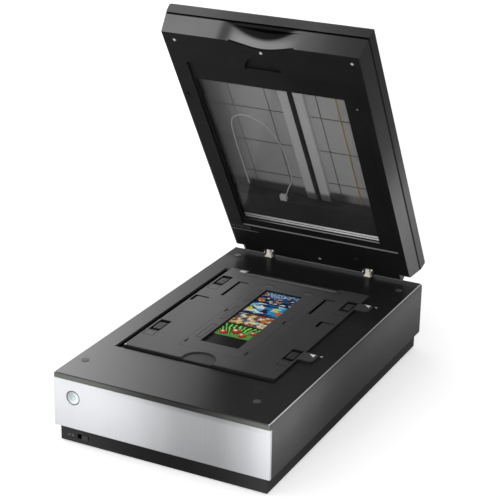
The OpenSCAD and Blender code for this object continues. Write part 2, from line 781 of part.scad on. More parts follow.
module hinge_brackets() {
    color("#9a9da2") in_lid() for (x = post_x) {
        for (s = [-1, 1]) translate([x + (s > 0 ? ear_in : -ear_in - ear_t), 0, 0]) difference() {
            rotate([90, 0, 90]) linear_extrude(ear_t) {
                translate([hinge_back, hinge_w]) circle(3.3);
                polygon([[hinge_back + 3, hinge_w + 1], [7.8, 17], [7.8, bracket_w[0]], [-14, bracket_w[0]],
                         [-14, 18], [hinge_back - 3, hinge_w - 1]]);
            }
            bar_x(-1, ear_t + 1, hinge_back, hinge_w, pin_r + run);
        }
        lid_box([x - ear_in - ear_t, -8.8, bracket_w[0]], [x + ear_in + ear_t, 14, bracket_w[1]]);
    }
}

// ---- lid shells ----

function side_at(w) = lid_half + flare * w / seam_up;
function front_at(w) = lid_len + front_rake * w / seam_up;
function back_at(w) = -back_rake * w / seam_up;

// the tapered block of the lower shell between two heights, drawn in by inset on every side
module lid_block(inset, w0, w1) {
    long = lid_len + 60;
    intersection() {
        translate([0, 40, 0]) rotate([90, 0, 0]) linear_extrude(long) polygon([
            [-side_at(w0) + inset, w0], [side_at(w0) - inset, w0],
            [side_at(w1) - inset, w1], [-side_at(w1) + inset, w1]]);
        translate([-lid_w, 0, 0]) rotate([90, 0, 90]) linear_extrude(2 * lid_w) polygon([
            [-front_at(w0) + inset, w0], [-back_at(w0) - inset, w0],
            [-back_at(w1) - inset, w1], [-front_at(w1) + inset, w1]]);
    }
}

scoop_x = 4;

scoop_top = seam_up - 4.1;
front_lean = atan(front_rake / seam_up);

// outline of the finger scoop, with a smooth run into the straight edge
module scoop_outline(extra) {
    n = 28;
    reach = scoop_half + extra * 2;
    out = extra > 0 ? 0 : 0.01;
    polygon(concat(
        [for (i = [0 : n]) let (x = -reach + 2 * reach * i / n)
            [scoop_x + x, -lid_len - out + (scoop_depth + extra) * pow(cos(90 * x / reach), 2)]],
        [[scoop_x + reach, -lid_len - 20], [scoop_x - reach, -lid_len - 20]]));
}

// the scoop's space up to a height along the front wall, square to that wall
module scoop(extra, up) {
    translate([0, -lid_len, 0]) rotate([front_lean, 0, 0]) translate([0, lid_len, -6])
        linear_extrude(up + 6) scoop_outline(extra);
}

module pockets() {
    for (x = post_x) bar_x(x - pocket_half, x + pocket_half, hinge_back, hinge_w, pocket_r);
}

boss_r = 4;

module lid_lower_shell() {
    color("#38393c") in_lid() difference() {
        union() {
            difference() {
                union() {
                    lid_block(0, 0, seam_up);
                    lid_box([tongue_x[0], -tongue_back, 0], [tongue_x[1], 2, seam_up - 2]);
                }
                lid_block(lid_wall, inner_t, seam_up + 0.01);
                lid_block(rebate, -1, inner_t);
                lid_box([tongue_x[0] + lid_wall, -tongue_back + lid_wall, -1],
                        [tongue_x[1] - lid_wall, 6, seam_up - 6]);
            }
            difference() {
                union() {
                    lid_block(lid_wall - 0.2, seam_up - flange_t, seam_up);
                    lid_block(lid_wall + swing, seam_up - 0.5, seam_up + lip_t);
                }
                lid_block(flange_in, seam_up - flange_t - 1, seam_up + lip_t + 1);
            }
            intersection() {
                lid_block(0.5, inner_t, seam_up);
                difference() {
                    scoop(lid_wall, seam_up + 6);
                    scoop(0, scoop_top);
                }
            }
            for (p = concat(screw_spots, [dark_screw])) {
                lid_disc(p.x, p.y, inner_t, seam_up, boss_r);
                far = p.y > 100;
                lid_box([p.x - 1, far ? p.y : -9.5, far ? 12 : inner_t],
                        [p.x + 1, far ? lid_len - 1 : p.y, seam_up]);
            }
        }
        scoop(0, scoop_top);
        for (p = concat(screw_spots, [dark_screw])) lid_disc(p.x, p.y, 0, 14, 1.5);
        pockets();
    }
}

// crowned outline of the cover across the lid: half outline from the side to the middle
function cover_side_points(t) = [
    [side_at(cover_base) - t, cover_base], [side_at(cover_base) + top_flare - t, lid_edge_t - 2],
    [side_at(cover_base) + top_flare - 1.4 - t, lid_edge_t + 1.2 - t],
    [side_at(cover_base) - 5.5 - t, lid_edge_t + crown * 0.46 - t],
    [lid_half * 0.55, lid_edge_t + crown * 0.9 - t], [0, lid_edge_t + crown - t]];

// crowned outline of the cover at its back edge: v and w
function cover_back_points(t) = [
    [-back_over + 0.4 + t, cover_base], [-back_over + t, lid_edge_t - 2],
    [-back_over + 1.5 + t, lid_edge_t + 1.2 - t], [-back_over + 7 + t, lid_edge_t + crown * 0.5 - t],
    [90, lid_edge_t + crown * 0.92 - t]];

// crowned outline of the cover at its front edge: v and w
function cover_front_points(t) = [
    [lid_len + front_over - 0.6 - t, cover_base], [lid_len + front_over - t, lid_edge_t - 2],
    [lid_len + front_over - 1.5 - t, lid_edge_t + 1.2 - t],
    [lid_len + front_over - 7 - t, lid_edge_t + crown * 0.5 - t],
    [lid_len - 90, lid_edge_t + crown * 0.92 - t]];

// the crowned cover, drawn in by t on every face
module cover_solid(t) {
    side = cover_side_points(t);
    back = cover_back_points(t);
    front = cover_front_points(t);
    n = len(side);
    intersection() {
        translate([0, 60, 0]) rotate([90, 0, 0]) linear_extrude(lid_len + 120) polygon(concat(
            [[-side[0][0], cover_base - 5 * t]], [for (p = side) [-p[0], p[1]]],
            [for (i = [n - 2 : -1 : 0]) side[i]], [[side[0][0], cover_base - 5 * t]]));
        translate([-lid_w, 0, 0]) rotate([90, 0, 90]) linear_extrude(2 * lid_w) polygon(concat(
            [[-front[0][0], cover_base - 5 * t]], [for (p = front) [-p[0], p[1]]],
            [[-lid_len / 2, lid_edge_t + crown - t]],
            [for (i = [len(back) - 1 : -1 : 0]) [-back[i][0], back[i][1]]],
            [[-back[0][0], cover_base - 5 * t]]));
    }
}

module lid_outer_cover() {
    color("#35363a") in_lid() difference() {
        cover_solid(0);
        cover_solid(cover_t);
    }
}

hook_spots = [[-133, 321], [118, 334]];
louvre_x = -133;
louvre_v = 43.3;
half_moon_r = 27;
half_moon_x = window_x + 3;
moon_sink = field_sink + 3;

module lid_inner_panel() {
    edge = rebate + fit;
    color("#111113") in_lid() difference() {
        union() {
            lid_box([-lid_half + edge, edge, 0], [lid_half - edge, lid_len - edge, inner_t]);
            lid_box([tongue_x[0] + edge + 1.6, -tongue_back + edge + 1.6, 0],
                    [tongue_x[1] - edge - 1.6, edge + 1, inner_t]);
            lid_box([field[0].x - inner_t, field[0].y - inner_t, 0],
                    [field[1].x + inner_t, field[1].y + inner_t, field_up]);
            intersection() {
                lid_disc(half_moon_x, field[1].y, 0, moon_sink + inner_t, half_moon_r + inner_t);
                lid_box([half_moon_x - 40, field[1].y - inner_t, 0],
                        [half_moon_x + 40, field[1].y + 40, field_up + 4]);
            }
        }
        lid_box([field[0].x, field[0].y, -1], [field[1].x, field[1].y, field_sink]);
        intersection() {
            lid_disc(half_moon_x, field[1].y, -1, moon_sink, half_moon_r);
            lid_box([half_moon_x - 40, field[1].y, -1], [half_moon_x + 40, field[1].y + 40, moon_sink]);
        }
        lid_box([window[0].x, window[0].y, -1], [window[1].x, window[1].y, field_up + 1]);
        translate([0, 0, -1]) linear_extrude(inner_t + 2) scoop_outline(edge);
        for (p = concat(screw_spots, [dark_screw])) {
            lid_disc(p.x, p.y, -1, 1.4, 3.4);
            lid_disc(p.x, p.y, -1, inner_t + 1, 1.7);
        }
        for (p = hook_spots) lid_box([p.x - 2, p.y - 5, -1], [p.x + 2, p.y + 5, field_up + 1]);
        for (i = [0 : 5]) translate([louvre_x + i * 5, -louvre_v, 0]) rotate([0, 0, 18])
            translate([-1, -4.2, -1]) cube([2, 8.4, inner_t + 2]);
        pockets();
    }
    color("#111113") in_lid() for (p = hook_spots) {
        deep = p.x > 0 ? field_sink : 0;
        lid_box([p.x - 1.2, p.y - 5.5, deep], [p.x + 1.2, p.y - 1, deep + inner_t]);
        lid_box([p.x - 1.2, p.y - 2.2, deep - 0.6], [p.x + 1.2, p.y + 2, deep + 0.8]);
    }
}

module lid_window_glass() {
    color("#a7b3b8", 0.35) in_lid() lid_box([window[0].x - 4, window[0].y - 4, field_up],
                                            [window[1].x + 4, window[1].y + 4, field_up + 2.8]);
}

module lid_back_plate() {
    color("#8b8d90") in_lid() {
        x = side_at(plate_up) - lid_wall - 3;
        v = [back_at(plate_up) + lid_wall + 3, front_at(plate_up) - lid_wall - 3];
        difference() {
            lid_box([-x, v[0], plate_up], [x, v[1], plate_up + plate_t]);
            for (g = plate_seams_v) lid_box([-x - 1, g - 0.5, plate_up - 1],
                                            [x + 1, g + 0.5, plate_up + 0.5]);
            for (g = plate_seams_x) lid_box([g - 0.5, v[0] - 1, plate_up - 1],
                                            [g + 0.5, v[1] + 1, plate_up + 0.5]);
            for (w = lid_belt_v) lid_disc(lid_belt_x, w, plate_up - 1, plate_up + 3, 3);
        }
    }
}

module light_rail() {
    color("#a5a8ac") in_lid() {
        difference() {
            lid_box([rail_in_lid[0], rail_v[0], rail_w], [rail_in_lid[1], rail_v[1], plate_up]);
            lid_box([rail_slot[0], rail_v[0] - 1, rail_w + 0.7],
                    [rail_in_lid[1] - 1.6, rail_v[1] + 1, plate_up - 0.4]);
            lid_box([rail_slot[0], rail_v[0] - 1, rail_w - 1],
                    [rail_slot[1], rail_v[1] + 1, plate_up - 0.4]);
            lid_disc(lid_belt_x, lid_belt_v[0], plate_up - 1, plate_up + 1, 2);
        }
        lid_disc(lid_belt_x, lid_belt_v[1], lid_belt_w - 0.25, plate_up, 1.5);
        for (x = [rail_in_lid[0] + 3, rail_in_lid[1] - 3],
             v = [rail_v[0] + 22, each plate_seams_v, rail_v[1] - 14])
            lid_disc(x, v, rail_w - 0.3, rail_w + 0.2, 1.6);
    }
}

module light_belt() {
    color("#1d1d1f") in_lid() translate([lid_belt_x, -lid_belt_v[1], lid_belt_w])
        belt_loop(lid_belt_v[1] - lid_belt_v[0], lid_pulley_r + run, belt_t, lid_belt_h);
}

module light_motor() {
    color("#6f7277") in_lid() {
        lid_disc(lid_belt_x, lid_belt_v[0], plate_up + plate_t, lid_edge_t - 3.5, 12);
        lid_disc(lid_belt_x, lid_belt_v[0], lid_belt_w - 0.25, plate_up + plate_t + 1, 1.5);
    }
}

module lid_pulley() {
    difference() {
        cylinder(h = lid_belt_h, r = lid_pulley_r);
        translate([0, 0, -1]) cylinder(h = lid_belt_h + 2, r = 1.5 + run);
    }
}

module light_drive_pulley() {
    color("#c9bd92") in_lid() translate([lid_belt_x, -lid_belt_v[0], lid_belt_w]) lid_pulley();
}

module light_idler_pulley() {
    color("#dcdcd4") in_lid() translate([lid_belt_x, -lid_belt_v[1], lid_belt_w]) lid_pulley();
}

module guide_wire() {
    color("#b08a3c") in_lid() {
        wire_x = window_x + 81;
        v = [rail_v[0] + 2, rail_v[1] + 6];
        translate([wire_x, -v[0] - 4, plate_up - 2]) rotate([90, 0, 0])
            cylinder(h = v[1] - v[0] - 2, r = 0.7);
        for (e = v) lid_box([wire_x - 3, e, plate_up - 3.2], [wire_x + 3, e + 5, plate_up]);
    }
}

module lamp_cable() {
    color("#e6e4dc") in_lid() cable([for (p = cable_path) [p.x, -p.y, cable_w]], cable_r);
}

module lid_screws() {
    color("#c5c7ca") in_lid() for (p = concat(screw_spots, [dark_screw])) difference() {
        union() {
            lid_disc(p.x, p.y, 0.2, 1.4, 3);
            lid_disc(p.x, p.y, 1, 12, 1.4);
        }
        lid_box([p.x - 1.8, p.y - 0.35, -1], [p.x + 1.8, p.y + 0.35, 0.8]);
        lid_box([p.x - 0.35, p.y - 1.8, -1], [p.x + 0.35, p.y + 1.8, 0.8]);
    }
}

// ---- light carriage ----

module light_carriage() {
    color("#2a2b2e") in_lid() difference() {
        union() {
            difference() {
                lid_box([light_x[0], light_v0, light_w0], [light_x[1], light_v1, rail_w - 0.6]);
                lid_box([light_x[0] + 2, light_v0 + 2, light_w0 + 2],
                        [light_x[1] - 2, light_v1 - 2, rail_w - 2.2]);
            }
            lid_box([light_x[0], light_v0, rail_w - 1], [rail_in_lid[0] - 0.5, light_v1, plate_up - 3.4]);
            lid_box([rail_in_lid[1] + 0.5, light_v0, rail_w - 1], [light_x[1], light_v1, plate_up - 3.4]);
            lid_box([rail_slot[0] + 4.2, light_v0 + 20, rail_w - 1],
                    [rail_slot[1] - 0.5, light_v0 + 40, rail_w + 4]);
        }
        for (v = [light_v0 + 8, light_v0 + 13])
            lid_box([light_x[0] + 3, v, light_w0 - 1], [light_x[1] - 9, v + 3, light_w0 + 1]);
        for (x = [-96, -60, 52, 84]) lid_disc(x, light_v0 + 38, light_w0 - 1, light_w0 + 0.8, 3);
        lid_box([-80, light_v0 + 28, light_w0 - 1], [-30, light_v0 + 29.5, light_w0 + 0.6]);
        lid_box([36, light_v0 + 46, light_w0 - 1], [92, light_v0 + 47.5, light_w0 + 0.6]);
    }
}

module light_bars() {
    color("#f4f5f0") in_lid() for (v = [light_v0 + 8.3, light_v0 + 13.3])
        lid_box([light_x[0] + 4, v, light_w0 - 0.6], [light_x[1] - 10, v + 2.4, light_w0 + 1]);
}

module cable_plug() {
    color("#b9bab8") in_lid() lid_box([-46, light_v1, light_w0], [-36, light_v1 + 9, light_w0 + 5.5]);
    color("#e6e4dc") in_lid() cable([for (p = tail_path) [p.x, -p.y, p.z]], cable_r);
}

// ---- film holder ----

// an outline groove of width t inside the rectangle
module outline_groove(from, to, t, depth) {
    difference() {
        box([from.x, from.y, holder_top - depth], [to.x, to.y, holder_top + 1]);
        box([from.x + t, from.y + t, holder_top - depth - 1], [to.x - t, to.y - t, holder_top + 2]);
    }
}

// an L: a slot to the back, right through the plate, and a groove to the right
module corner_groove(x, y, leg, foot, foot_w) {
    box([x, y, holder_top - holder_t - 1], [x + 4.4, y + leg, holder_top + 1]);
    box([x, y + leg - foot_w, holder_top - 1.4], [x + foot, y + leg, holder_top + 1]);
}

// the sunk half round at the holder's front edge, to take hold of the film
module thumb_notch(r) {
    cylinder(h = 4, r = r);
    box([-r, -10, 0], [r, 0, 4]);
}

module holder_frame() {
    skirt = 2;
    x0 = holder_x - holder_w / 2;
    x1 = holder_x + holder_w / 2;
    well = [[cover_x0 - fit, cover_y0 - fit], [cover_x1 + fit, cover_y1 + swing]];
    plate_z = holder_top - holder_t;
    pocket_z = plate_z - 2.2;
    color("#3c3d40") at_front() difference() {
        union() {
            difference() {
                box([x0, holder_y0, holder_bot], [x1, holder_y1, holder_top]);
                box([x0 + skirt, holder_y0 + skirt, holder_bot - 1],
                    [x1 - skirt, holder_y1 - skirt, plate_z]);
            }
            box([well[0].x - skirt, well[0].y - skirt, film_floor - 1.4],
                [well[1].x + skirt, well[1].y + skirt, plate_z + 1]);
            tab_z = top_z + 0.4;
            for (t = tabs_y) translate([0, 0, tab_z]) linear_extrude(holder_top - tab_z) polygon([
                [x1 - 1, t[0]], [x1 + tab_out - 3, t[0]], [x1 + tab_out, t[0] + 3],
                [x1 + tab_out, t[1] - 3], [x1 + tab_out - 3, t[1]], [x1 - 1, t[1]]]);
            for (s = [-1, 1], y = adjuster_mid) {
                x = holder_x + s * adjuster_off;
                box([x - pocket_w / 2 - 1.5, y - pocket_len / 2 - 1.5, pocket_z - 1.2],
                    [x + pocket_w / 2 + 1.5, y + pocket_len / 2 + 1.5, plate_z + 0.5]);
            }
            for (x = tongues_x) box([x - 3.6, cover_axis_y - 3.5, film_floor - 1.4],
                                    [x + tongue_w + 3.6, cover_axis_y + 6, plate_z + 0.5]);
            box([notch_x[0] - skirt, notch_y - skirt, holder_bot],
                [notch_x[1] + skirt, holder_y1, plate_z + 0.5]);
            for (y = [notch_y - 7, notch_y - 1.6])
                box([notch_x[0] - 1, y, holder_top - 0.5], [notch_x[1] + 1, y + 1.4, holder_top + 0.5]);
            for (x = [notch_x[0] + 12, notch_x[1] - 3])
                box([x, notch_y - 6, holder_top - 0.5], [x + 8, notch_y - 1, holder_top + 0.9]);
        }
        box(concat(well[0], film_floor), concat(well[1], holder_top + 1));
        box([gate_x0, gate_y0, holder_bot - 1], [gate_x1, gate_y1, holder_top]);
        for (x = tongues_x) {
            box([x - fit, cover_y1, film_floor], [x + tongue_w + fit, cover_axis_y + 3.6, holder_top + 1]);
            bar_x(x - 3, x + tongue_w + 3, cover_axis_y, cover_axis_z, 0.8 + run);
        }
        for (s = [-1, 1], y = adjuster_mid) {
            x = holder_x + s * adjuster_off;
            box([x - pocket_w / 2, y - pocket_len / 2, pocket_z],
                [x + pocket_w / 2, y + pocket_len / 2, holder_top + 1]);
            outline_groove([x - pocket_w / 2, y - pocket_len / 2 - 17],
                           [x + pocket_w / 2, y - pocket_len / 2 - 2], 0.8, 0.5);
        }
        for (x = [holder_x - 77, holder_x + 59.5]) corner_groove(x, holder_y0 + 207.6, 58, 16.5, 3.2);
        for (x = [x0 + skirt, x1 - 24]) corner_groove(x, holder_y0 + 173, 20, 21.5, 4.8);
        box(concat(notch_x[0], notch_y, holder_bot - 1), concat(notch_x[1], holder_y1 + 1, holder_top + 1));
        translate([holder_x - 2, holder_y0 + 6, 0]) {
            translate([0, 0, holder_top - 0.7]) thumb_notch(23.2);
            translate([0, 0, holder_top - 1.6]) thumb_notch(21);
        }
    }
}

module film_insert() {
    color("#dfe6e8", 0.35) at_front() box([gate_x0 - 6.5, gate_y0 - 14, film_floor + 0.02],
                                          [gate_x1 + 6.5, gate_y1 + 7, film_floor + insert_t]);
}

module film_strip() {
    film_y = [gate_y0 - 16, gate_y0 + 34 + 4 * frame_pitch];
    color("#5f7f9f") at_front() box([holder_x - film_w / 2, film_y[0], film_bot],
                                    [holder_x + film_w / 2, film_y[1], film_bot + film_t]);
}

module film_cover() {
    color("#3f4043") at_front() difference() {
        union() {
            box([cover_x0, cover_y0, cover_bot], [cover_x1, cover_y1, holder_top]);
            box([gate_x0 - 2, gate_y0 - 2, film_bot + film_t + 0.2],
                [gate_x1 + 2, gate_y1 + 2, cover_bot + 0.5]);
            for (x = tongues_x) {
                box([x, cover_y1 - 2, cover_bot], [x + tongue_w, cover_axis_y, cover_axis_z + 0.9]);
                bar_x(x, x + tongue_w, cover_axis_y, cover_axis_z, cover_barrel_r);
                bar_x(x - 2.6, x + tongue_w + 2.6, cover_axis_y, cover_axis_z, 0.8);
            }
        }
        box([gate_x0, gate_y0, film_bot - 1], [gate_x1, gate_y1, holder_top + 1]);
        for (i = [0 : 2]) outline_groove([gate_x0 - 11.5, gate_y0 + 8 + i * 68.5],
                                         [gate_x0 - 4, gate_y0 + 56 + i * 68.5], 0.8, 0.4);
        for (x = [cover_x0 + 1.6, cover_x1 - 4], y = [gate_y0 - 13, gate_y0 + 100])
            box([x, y, cover_bot - 1], [x + 2.4, y + 10, holder_top + 1]);
    }
}

module adjuster(side, y) {
    x = holder_x + side * adjuster_off;
    z = holder_top - holder_t - 2;
    color("#46474a") at_front() {
        box([x - adjuster_w / 2, y - adjuster_len / 2, z],
            [x + adjuster_w / 2, y + adjuster_len / 2, holder_top - 1]);
        for (i = [0 : 3]) box([x - adjuster_w / 2, y - adjuster_len / 2 + 1.5 + i * 5, holder_top - 1.1],
                              [x + adjuster_w / 2, y - adjuster_len / 2 + 3.5 + i * 5, holder_top - 0.2]);
    }
}

module adjuster_front_left() { adjuster(-1, adjuster_mid[0]); }

module adjuster_rear_left() { adjuster(-1, adjuster_mid[1]); }

module adjuster_front_right() { adjuster(1, adjuster_mid[0]); }

module adjuster_rear_right() { adjuster(1, adjuster_mid[1]); }

bottom_tray();
rubber_feet();
upper_case();
front_trim();
front_panel();
glass_gasket();
platen_glass();
platen_frame();
lid_bumpers();
power_ring();
power_button();
switch_board();
transport_lock();
guide_rod();
support_rail();
drive_belt();
drive_motor();
drive_pulley();
idler_pulley();
main_board();
board_parts();
power_inlet();
usb_port();
lid_port();
case_screws();
hinge_sockets();
carriage_ribbon();
carriage_frame();
lamp_bars();
scan_mirrors();
lens_unit();
sensor_board();
hinge_post_left();
hinge_post_right();
hinge_pins();
hinge_brackets();
lid_lower_shell();
lid_outer_cover();
lid_inner_panel();
lid_window_glass();
lid_back_plate();
light_rail();
light_belt();
guide_wire();
lamp_cable();
light_motor();
lid_screws();
light_drive_pulley();
light_idler_pulley();
light_carriage();
light_bars();
cable_plug();
holder_frame();
film_insert();
film_strip();
film_cover();
adjuster_front_left();
adjuster_rear_left();
adjuster_front_right();
adjuster_rear_right();
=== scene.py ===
# Flatbed scanner for film and photographs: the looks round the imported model.
import math
import bpy
import bmesh
from mathutils import Matrix, Vector


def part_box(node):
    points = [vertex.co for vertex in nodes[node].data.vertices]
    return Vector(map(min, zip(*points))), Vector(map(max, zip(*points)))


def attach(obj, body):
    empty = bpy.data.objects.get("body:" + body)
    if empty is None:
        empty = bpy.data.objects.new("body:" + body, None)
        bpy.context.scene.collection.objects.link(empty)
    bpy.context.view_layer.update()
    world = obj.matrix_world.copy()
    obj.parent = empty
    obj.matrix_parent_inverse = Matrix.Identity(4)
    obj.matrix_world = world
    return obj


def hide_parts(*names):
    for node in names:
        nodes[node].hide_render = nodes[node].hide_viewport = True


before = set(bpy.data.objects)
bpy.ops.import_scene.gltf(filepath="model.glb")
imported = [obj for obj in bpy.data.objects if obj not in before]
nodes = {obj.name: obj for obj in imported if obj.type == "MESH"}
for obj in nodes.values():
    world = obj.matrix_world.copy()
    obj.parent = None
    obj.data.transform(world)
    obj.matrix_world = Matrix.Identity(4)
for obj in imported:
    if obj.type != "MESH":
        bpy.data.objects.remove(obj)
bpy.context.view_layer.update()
mm = 0.001
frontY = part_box("front_panel")[0].y      # the front panel's face, where the case's own sizes start
print("frame loaded:", len(nodes), "nodes")

# the camera, at the photograph's place

camera = {
    "place": (861.23, -1471.70, 959.78),  # mm, from the front face's middle
    "azimuth": 26.646, "elevation": 21.322, "roll": 0.901,
    "lens": 111.24, "sensor": 36.0, "clip": (0.05, 60.0),
}


def makeCamera(look):
    data = bpy.data.cameras.new("photoCamera")
    data.lens, data.sensor_width = look["lens"], look["sensor"]
    data.sensor_fit = "HORIZONTAL"
    data.clip_start, data.clip_end = look["clip"]
    azimuth, elevation, roll = (math.radians(look[key]) for key in ("azimuth", "elevation", "roll"))
    level = math.cos(elevation)
    back = Vector((math.sin(azimuth) * level, -math.cos(azimuth) * level, math.sin(elevation)))
    right = Vector((0, 0, 1)).cross(back).normalized()
    up = back.cross(right)
    tiltedRight = right * math.cos(roll) + up * math.sin(roll)
    tiltedUp = up * math.cos(roll) - right * math.sin(roll)
    turned = Matrix((tiltedRight, tiltedUp, back)).transposed().to_4x4()
    x, y, z = look["place"]
    made = bpy.data.objects.new("photoCamera", data)
    made.matrix_world = Matrix.Translation((x * mm, y * mm + frontY, z * mm)) @ turned
    bpy.context.scene.collection.objects.link(made)
    bpy.context.scene.camera = made


makeCamera(camera)


class Wire:
    # an output of a node that takes Python's own operators
    def __init__(self, paint, socket):
        self.paint, self.socket = paint, socket

    def maths(self, operation, *others):
        values = dict(enumerate((self,) + others))
        return self.paint.node("ShaderNodeMath", {"operation": operation}, values)

    def __add__(self, other):
        return self.maths("ADD", other)

    def __sub__(self, other):
        return self.maths("SUBTRACT", other)

    def __mul__(self, other):
        return self.maths("MULTIPLY", other)

    def __truediv__(self, other):
        return self.maths("DIVIDE", other)

    def __gt__(self, other):
        return self.maths("GREATER_THAN", other)

    def __lt__(self, other):
        return self.maths("LESS_THAN", other)

    def __neg__(self):
        return self * -1

    def __rsub__(self, other):
        return (self * -1) + other

    __radd__, __rmul__ = __add__, __mul__

    def power(self, amount):
        return self.maths("POWER", amount)

    def floor(self):
        return self.maths("FLOOR")

    def part(self):
        return self.maths("FRACT")

    def size(self):
        return self.maths("ABSOLUTE")

    def sine(self):
        return self.maths("SINE")

    def clip(self):
        return self.maths("MAXIMUM", 0.0).maths("MINIMUM", 1.0)

    def ease(self, low, high):
        # 0 below low, 1 above high, smooth between
        return self.paint.node("ShaderNodeMapRange", {"interpolation_type": "SMOOTHSTEP"},
                               {0: self, 1: low, 2: high, 3: 0.0, 4: 1.0})

    def over(self, low, high):
        # the same, with both places in mm
        return self.ease(low * mm, high * mm)

    def near(self, place, outer, inner):
        # 1 within the inner distance of a place and 0 past the outer one, all in mm
        return (self - place * mm).size().over(outer, inner)


class Paint:
    # the nodes of one material, or of the world
    def __init__(self, owner, main="Principled BSDF"):
        owner.use_nodes = True
        self.owner, self.tree = owner, owner.node_tree
        self.shader = self.tree.nodes[main]

    def node(self, kind, settings=None, inputs=None, output=0):
        made = self.tree.nodes.new(kind)
        for key, value in (settings or {}).items():
            setattr(made, key, value)
        for key, value in (inputs or {}).items():
            self.fill(made.inputs[key], value)
        return Wire(self, made.outputs[output])

    def fill(self, socket, value):
        # a Wire is linked and a plain value is written
        if isinstance(value, Wire):
            self.tree.links.new(value.socket, socket)
        else:
            socket.default_value = value

    def give(self, **values):
        # sets the main shader's sockets
        for key, value in values.items():
            self.fill(self.shader.inputs[key.replace("_", " ")], value)

    def place(self):
        return self.node("ShaderNodeTexCoord", output="Object")

    def split(self, point):
        first = self.node("ShaderNodeSeparateXYZ", inputs={0: point})
        return [Wire(self, out) for out in first.socket.node.outputs]

    def turned(self, matrix):
        # the same place, seen from a frame that is turned and moved by the matrix
        back = matrix.inverted()
        return self.node("ShaderNodeMapping", {"vector_type": "POINT"},
                         {"Vector": self.place(), "Location": back.to_translation(),
                          "Rotation": back.to_euler()})

    def noise(self, point, scale, detail=2.0, stretch=None):
        if stretch:
            point = self.node("ShaderNodeVectorMath", {"operation": "MULTIPLY"}, {0: point, 1: stretch})
        return self.node("ShaderNodeTexNoise", inputs={"Vector": point, "Scale": scale, "Detail": detail})

    def cells(self, point, scale, output):
        return self.node("ShaderNodeTexVoronoi", inputs={"Vector": point, "Scale": scale}, output=output)

    def mix(self, mask, low, high):
        return self.node("ShaderNodeMix", {"data_type": "RGBA"}, {0: mask, 6: low, 7: high}, 2)

    def shade(self, factor, colour):
        return self.mix(factor, rgb(0.0, 0.0, 0.0), colour)

    def run(self, value, stops):
        # a smooth run of factors between places given in mm
        low, high = stops[0][0], stops[-1][0]
        made = self.node("ShaderNodeValToRGB", inputs={0: (value - low * mm) / ((high - low) * mm)})
        band = made.socket.node.color_ramp
        band.interpolation = "CARDINAL"
        band.elements[0].color, band.elements[-1].color = grey(stops[0][1]), grey(stops[-1][1])
        for place, factor in stops[1:-1]:
            band.elements.new((place - low) / (high - low)).color = grey(factor)
        return made

    def dot(self, first, second):
        return self.node("ShaderNodeVectorMath", {"operation": "DOT_PRODUCT"},
                         {0: first, 1: second}, "Value")

    def facing(self, way):
        # how far the piece's own surface looks the way given, at most 1
        return self.dot(self.node("ShaderNodeTexCoord", output="Normal"), way)

    def rounded(self, radius):
        return self.node("ShaderNodeBevel", {"samples": 4}, {"Radius": radius * mm})

    def edges(self, rounding):
        # 1 where the rounding bends the surface most, 0 on flat faces
        flat = self.node("ShaderNodeNewGeometry", output="Normal")
        return ((1 - self.dot(rounding, flat)) * 5.0).clip()

    def bump(self, height, depth, strength, normal):
        return self.node("ShaderNodeBump", inputs={"Height": height, "Distance": depth * mm,
                                                   "Strength": strength, "Normal": normal})


def newPaint(name):
    return Paint(bpy.data.materials.new(name))


def seenRay(paint):
    # 1 for what the camera sees, also in mirrors and through glass
    seen = paint.node("ShaderNodeLightPath", output="Is Camera Ray")
    for kind in ("Is Glossy Ray", "Is Transmission Ray"):
        seen = seen.maths("MAXIMUM", paint.node("ShaderNodeLightPath", output=kind))
    return seen


def rgb(red, green, blue):
    return (red, green, blue, 1.0)


def grey(value):
    return rgb(value, value, value)


def distance(across, along):
    return (across.power(2.0) + along.power(2.0)).maths("SQRT")


# the lid's own frame: x across, v up from the hinges, w out through the lid

lidPlace = {"open": 59.0, "hingeY": 490.8, "hingeZ": 104.6, "back": 12.5, "up": 3.6}
lidFrame = (Matrix.Translation((0, frontY + lidPlace["hingeY"] * mm, lidPlace["hingeZ"] * mm))
            @ Matrix.Rotation(-math.radians(lidPlace["open"]), 4, "X")
            @ Matrix.Translation((0, -lidPlace["back"] * mm, -lidPlace["up"] * mm)))


def onLid(paint):
    x, back, w = paint.split(paint.turned(lidFrame))
    return x, -back, w


def lidFacing(paint, way):
    return paint.facing(lidFrame.to_3x3() @ Vector(way))


# what every moulded plastic has, unless its own values say otherwise
plastic = {"cloud": 14.0, "grain": 2600.0, "edge": 0.5, "wear": 0.35, "spread": 0.08, "pitted": 0.06,
           "depth": 0.02, "strength": 0.35, "specular": 0.5, "extra": None}


def moulded(name, own):
    # textured or polished plastic, with slow changes of tone and edges lighter partly from wear and partly
    # as a painted highlight
    look = {**plastic, **own}
    paint = newPaint(name)
    point = paint.place()
    cloud = paint.noise(point, look["cloud"], 3.0)
    grain = paint.noise(point, look["grain"], 2.0)
    rounding = paint.rounded(look["edge"])
    colour = paint.mix(cloud.ease(0.3, 0.7), look["colour"], look["tint"])
    # edges lighter partly from wear and partly as a painted highlight
    colour = paint.mix(paint.edges(rounding) * look["wear"], colour, look["rim"])
    rough = look["rough"] + (cloud - 0.5) * look["spread"] + (grain - 0.5) * look["pitted"]
    if look["extra"]:
        colour, rough = look["extra"](paint, point, colour, rough)
    paint.give(Base_Color=colour, Roughness=rough, Specular_IOR_Level=look["specular"],
               Normal=paint.bump(grain, look["depth"], look["strength"], rounding))
    return paint.owner
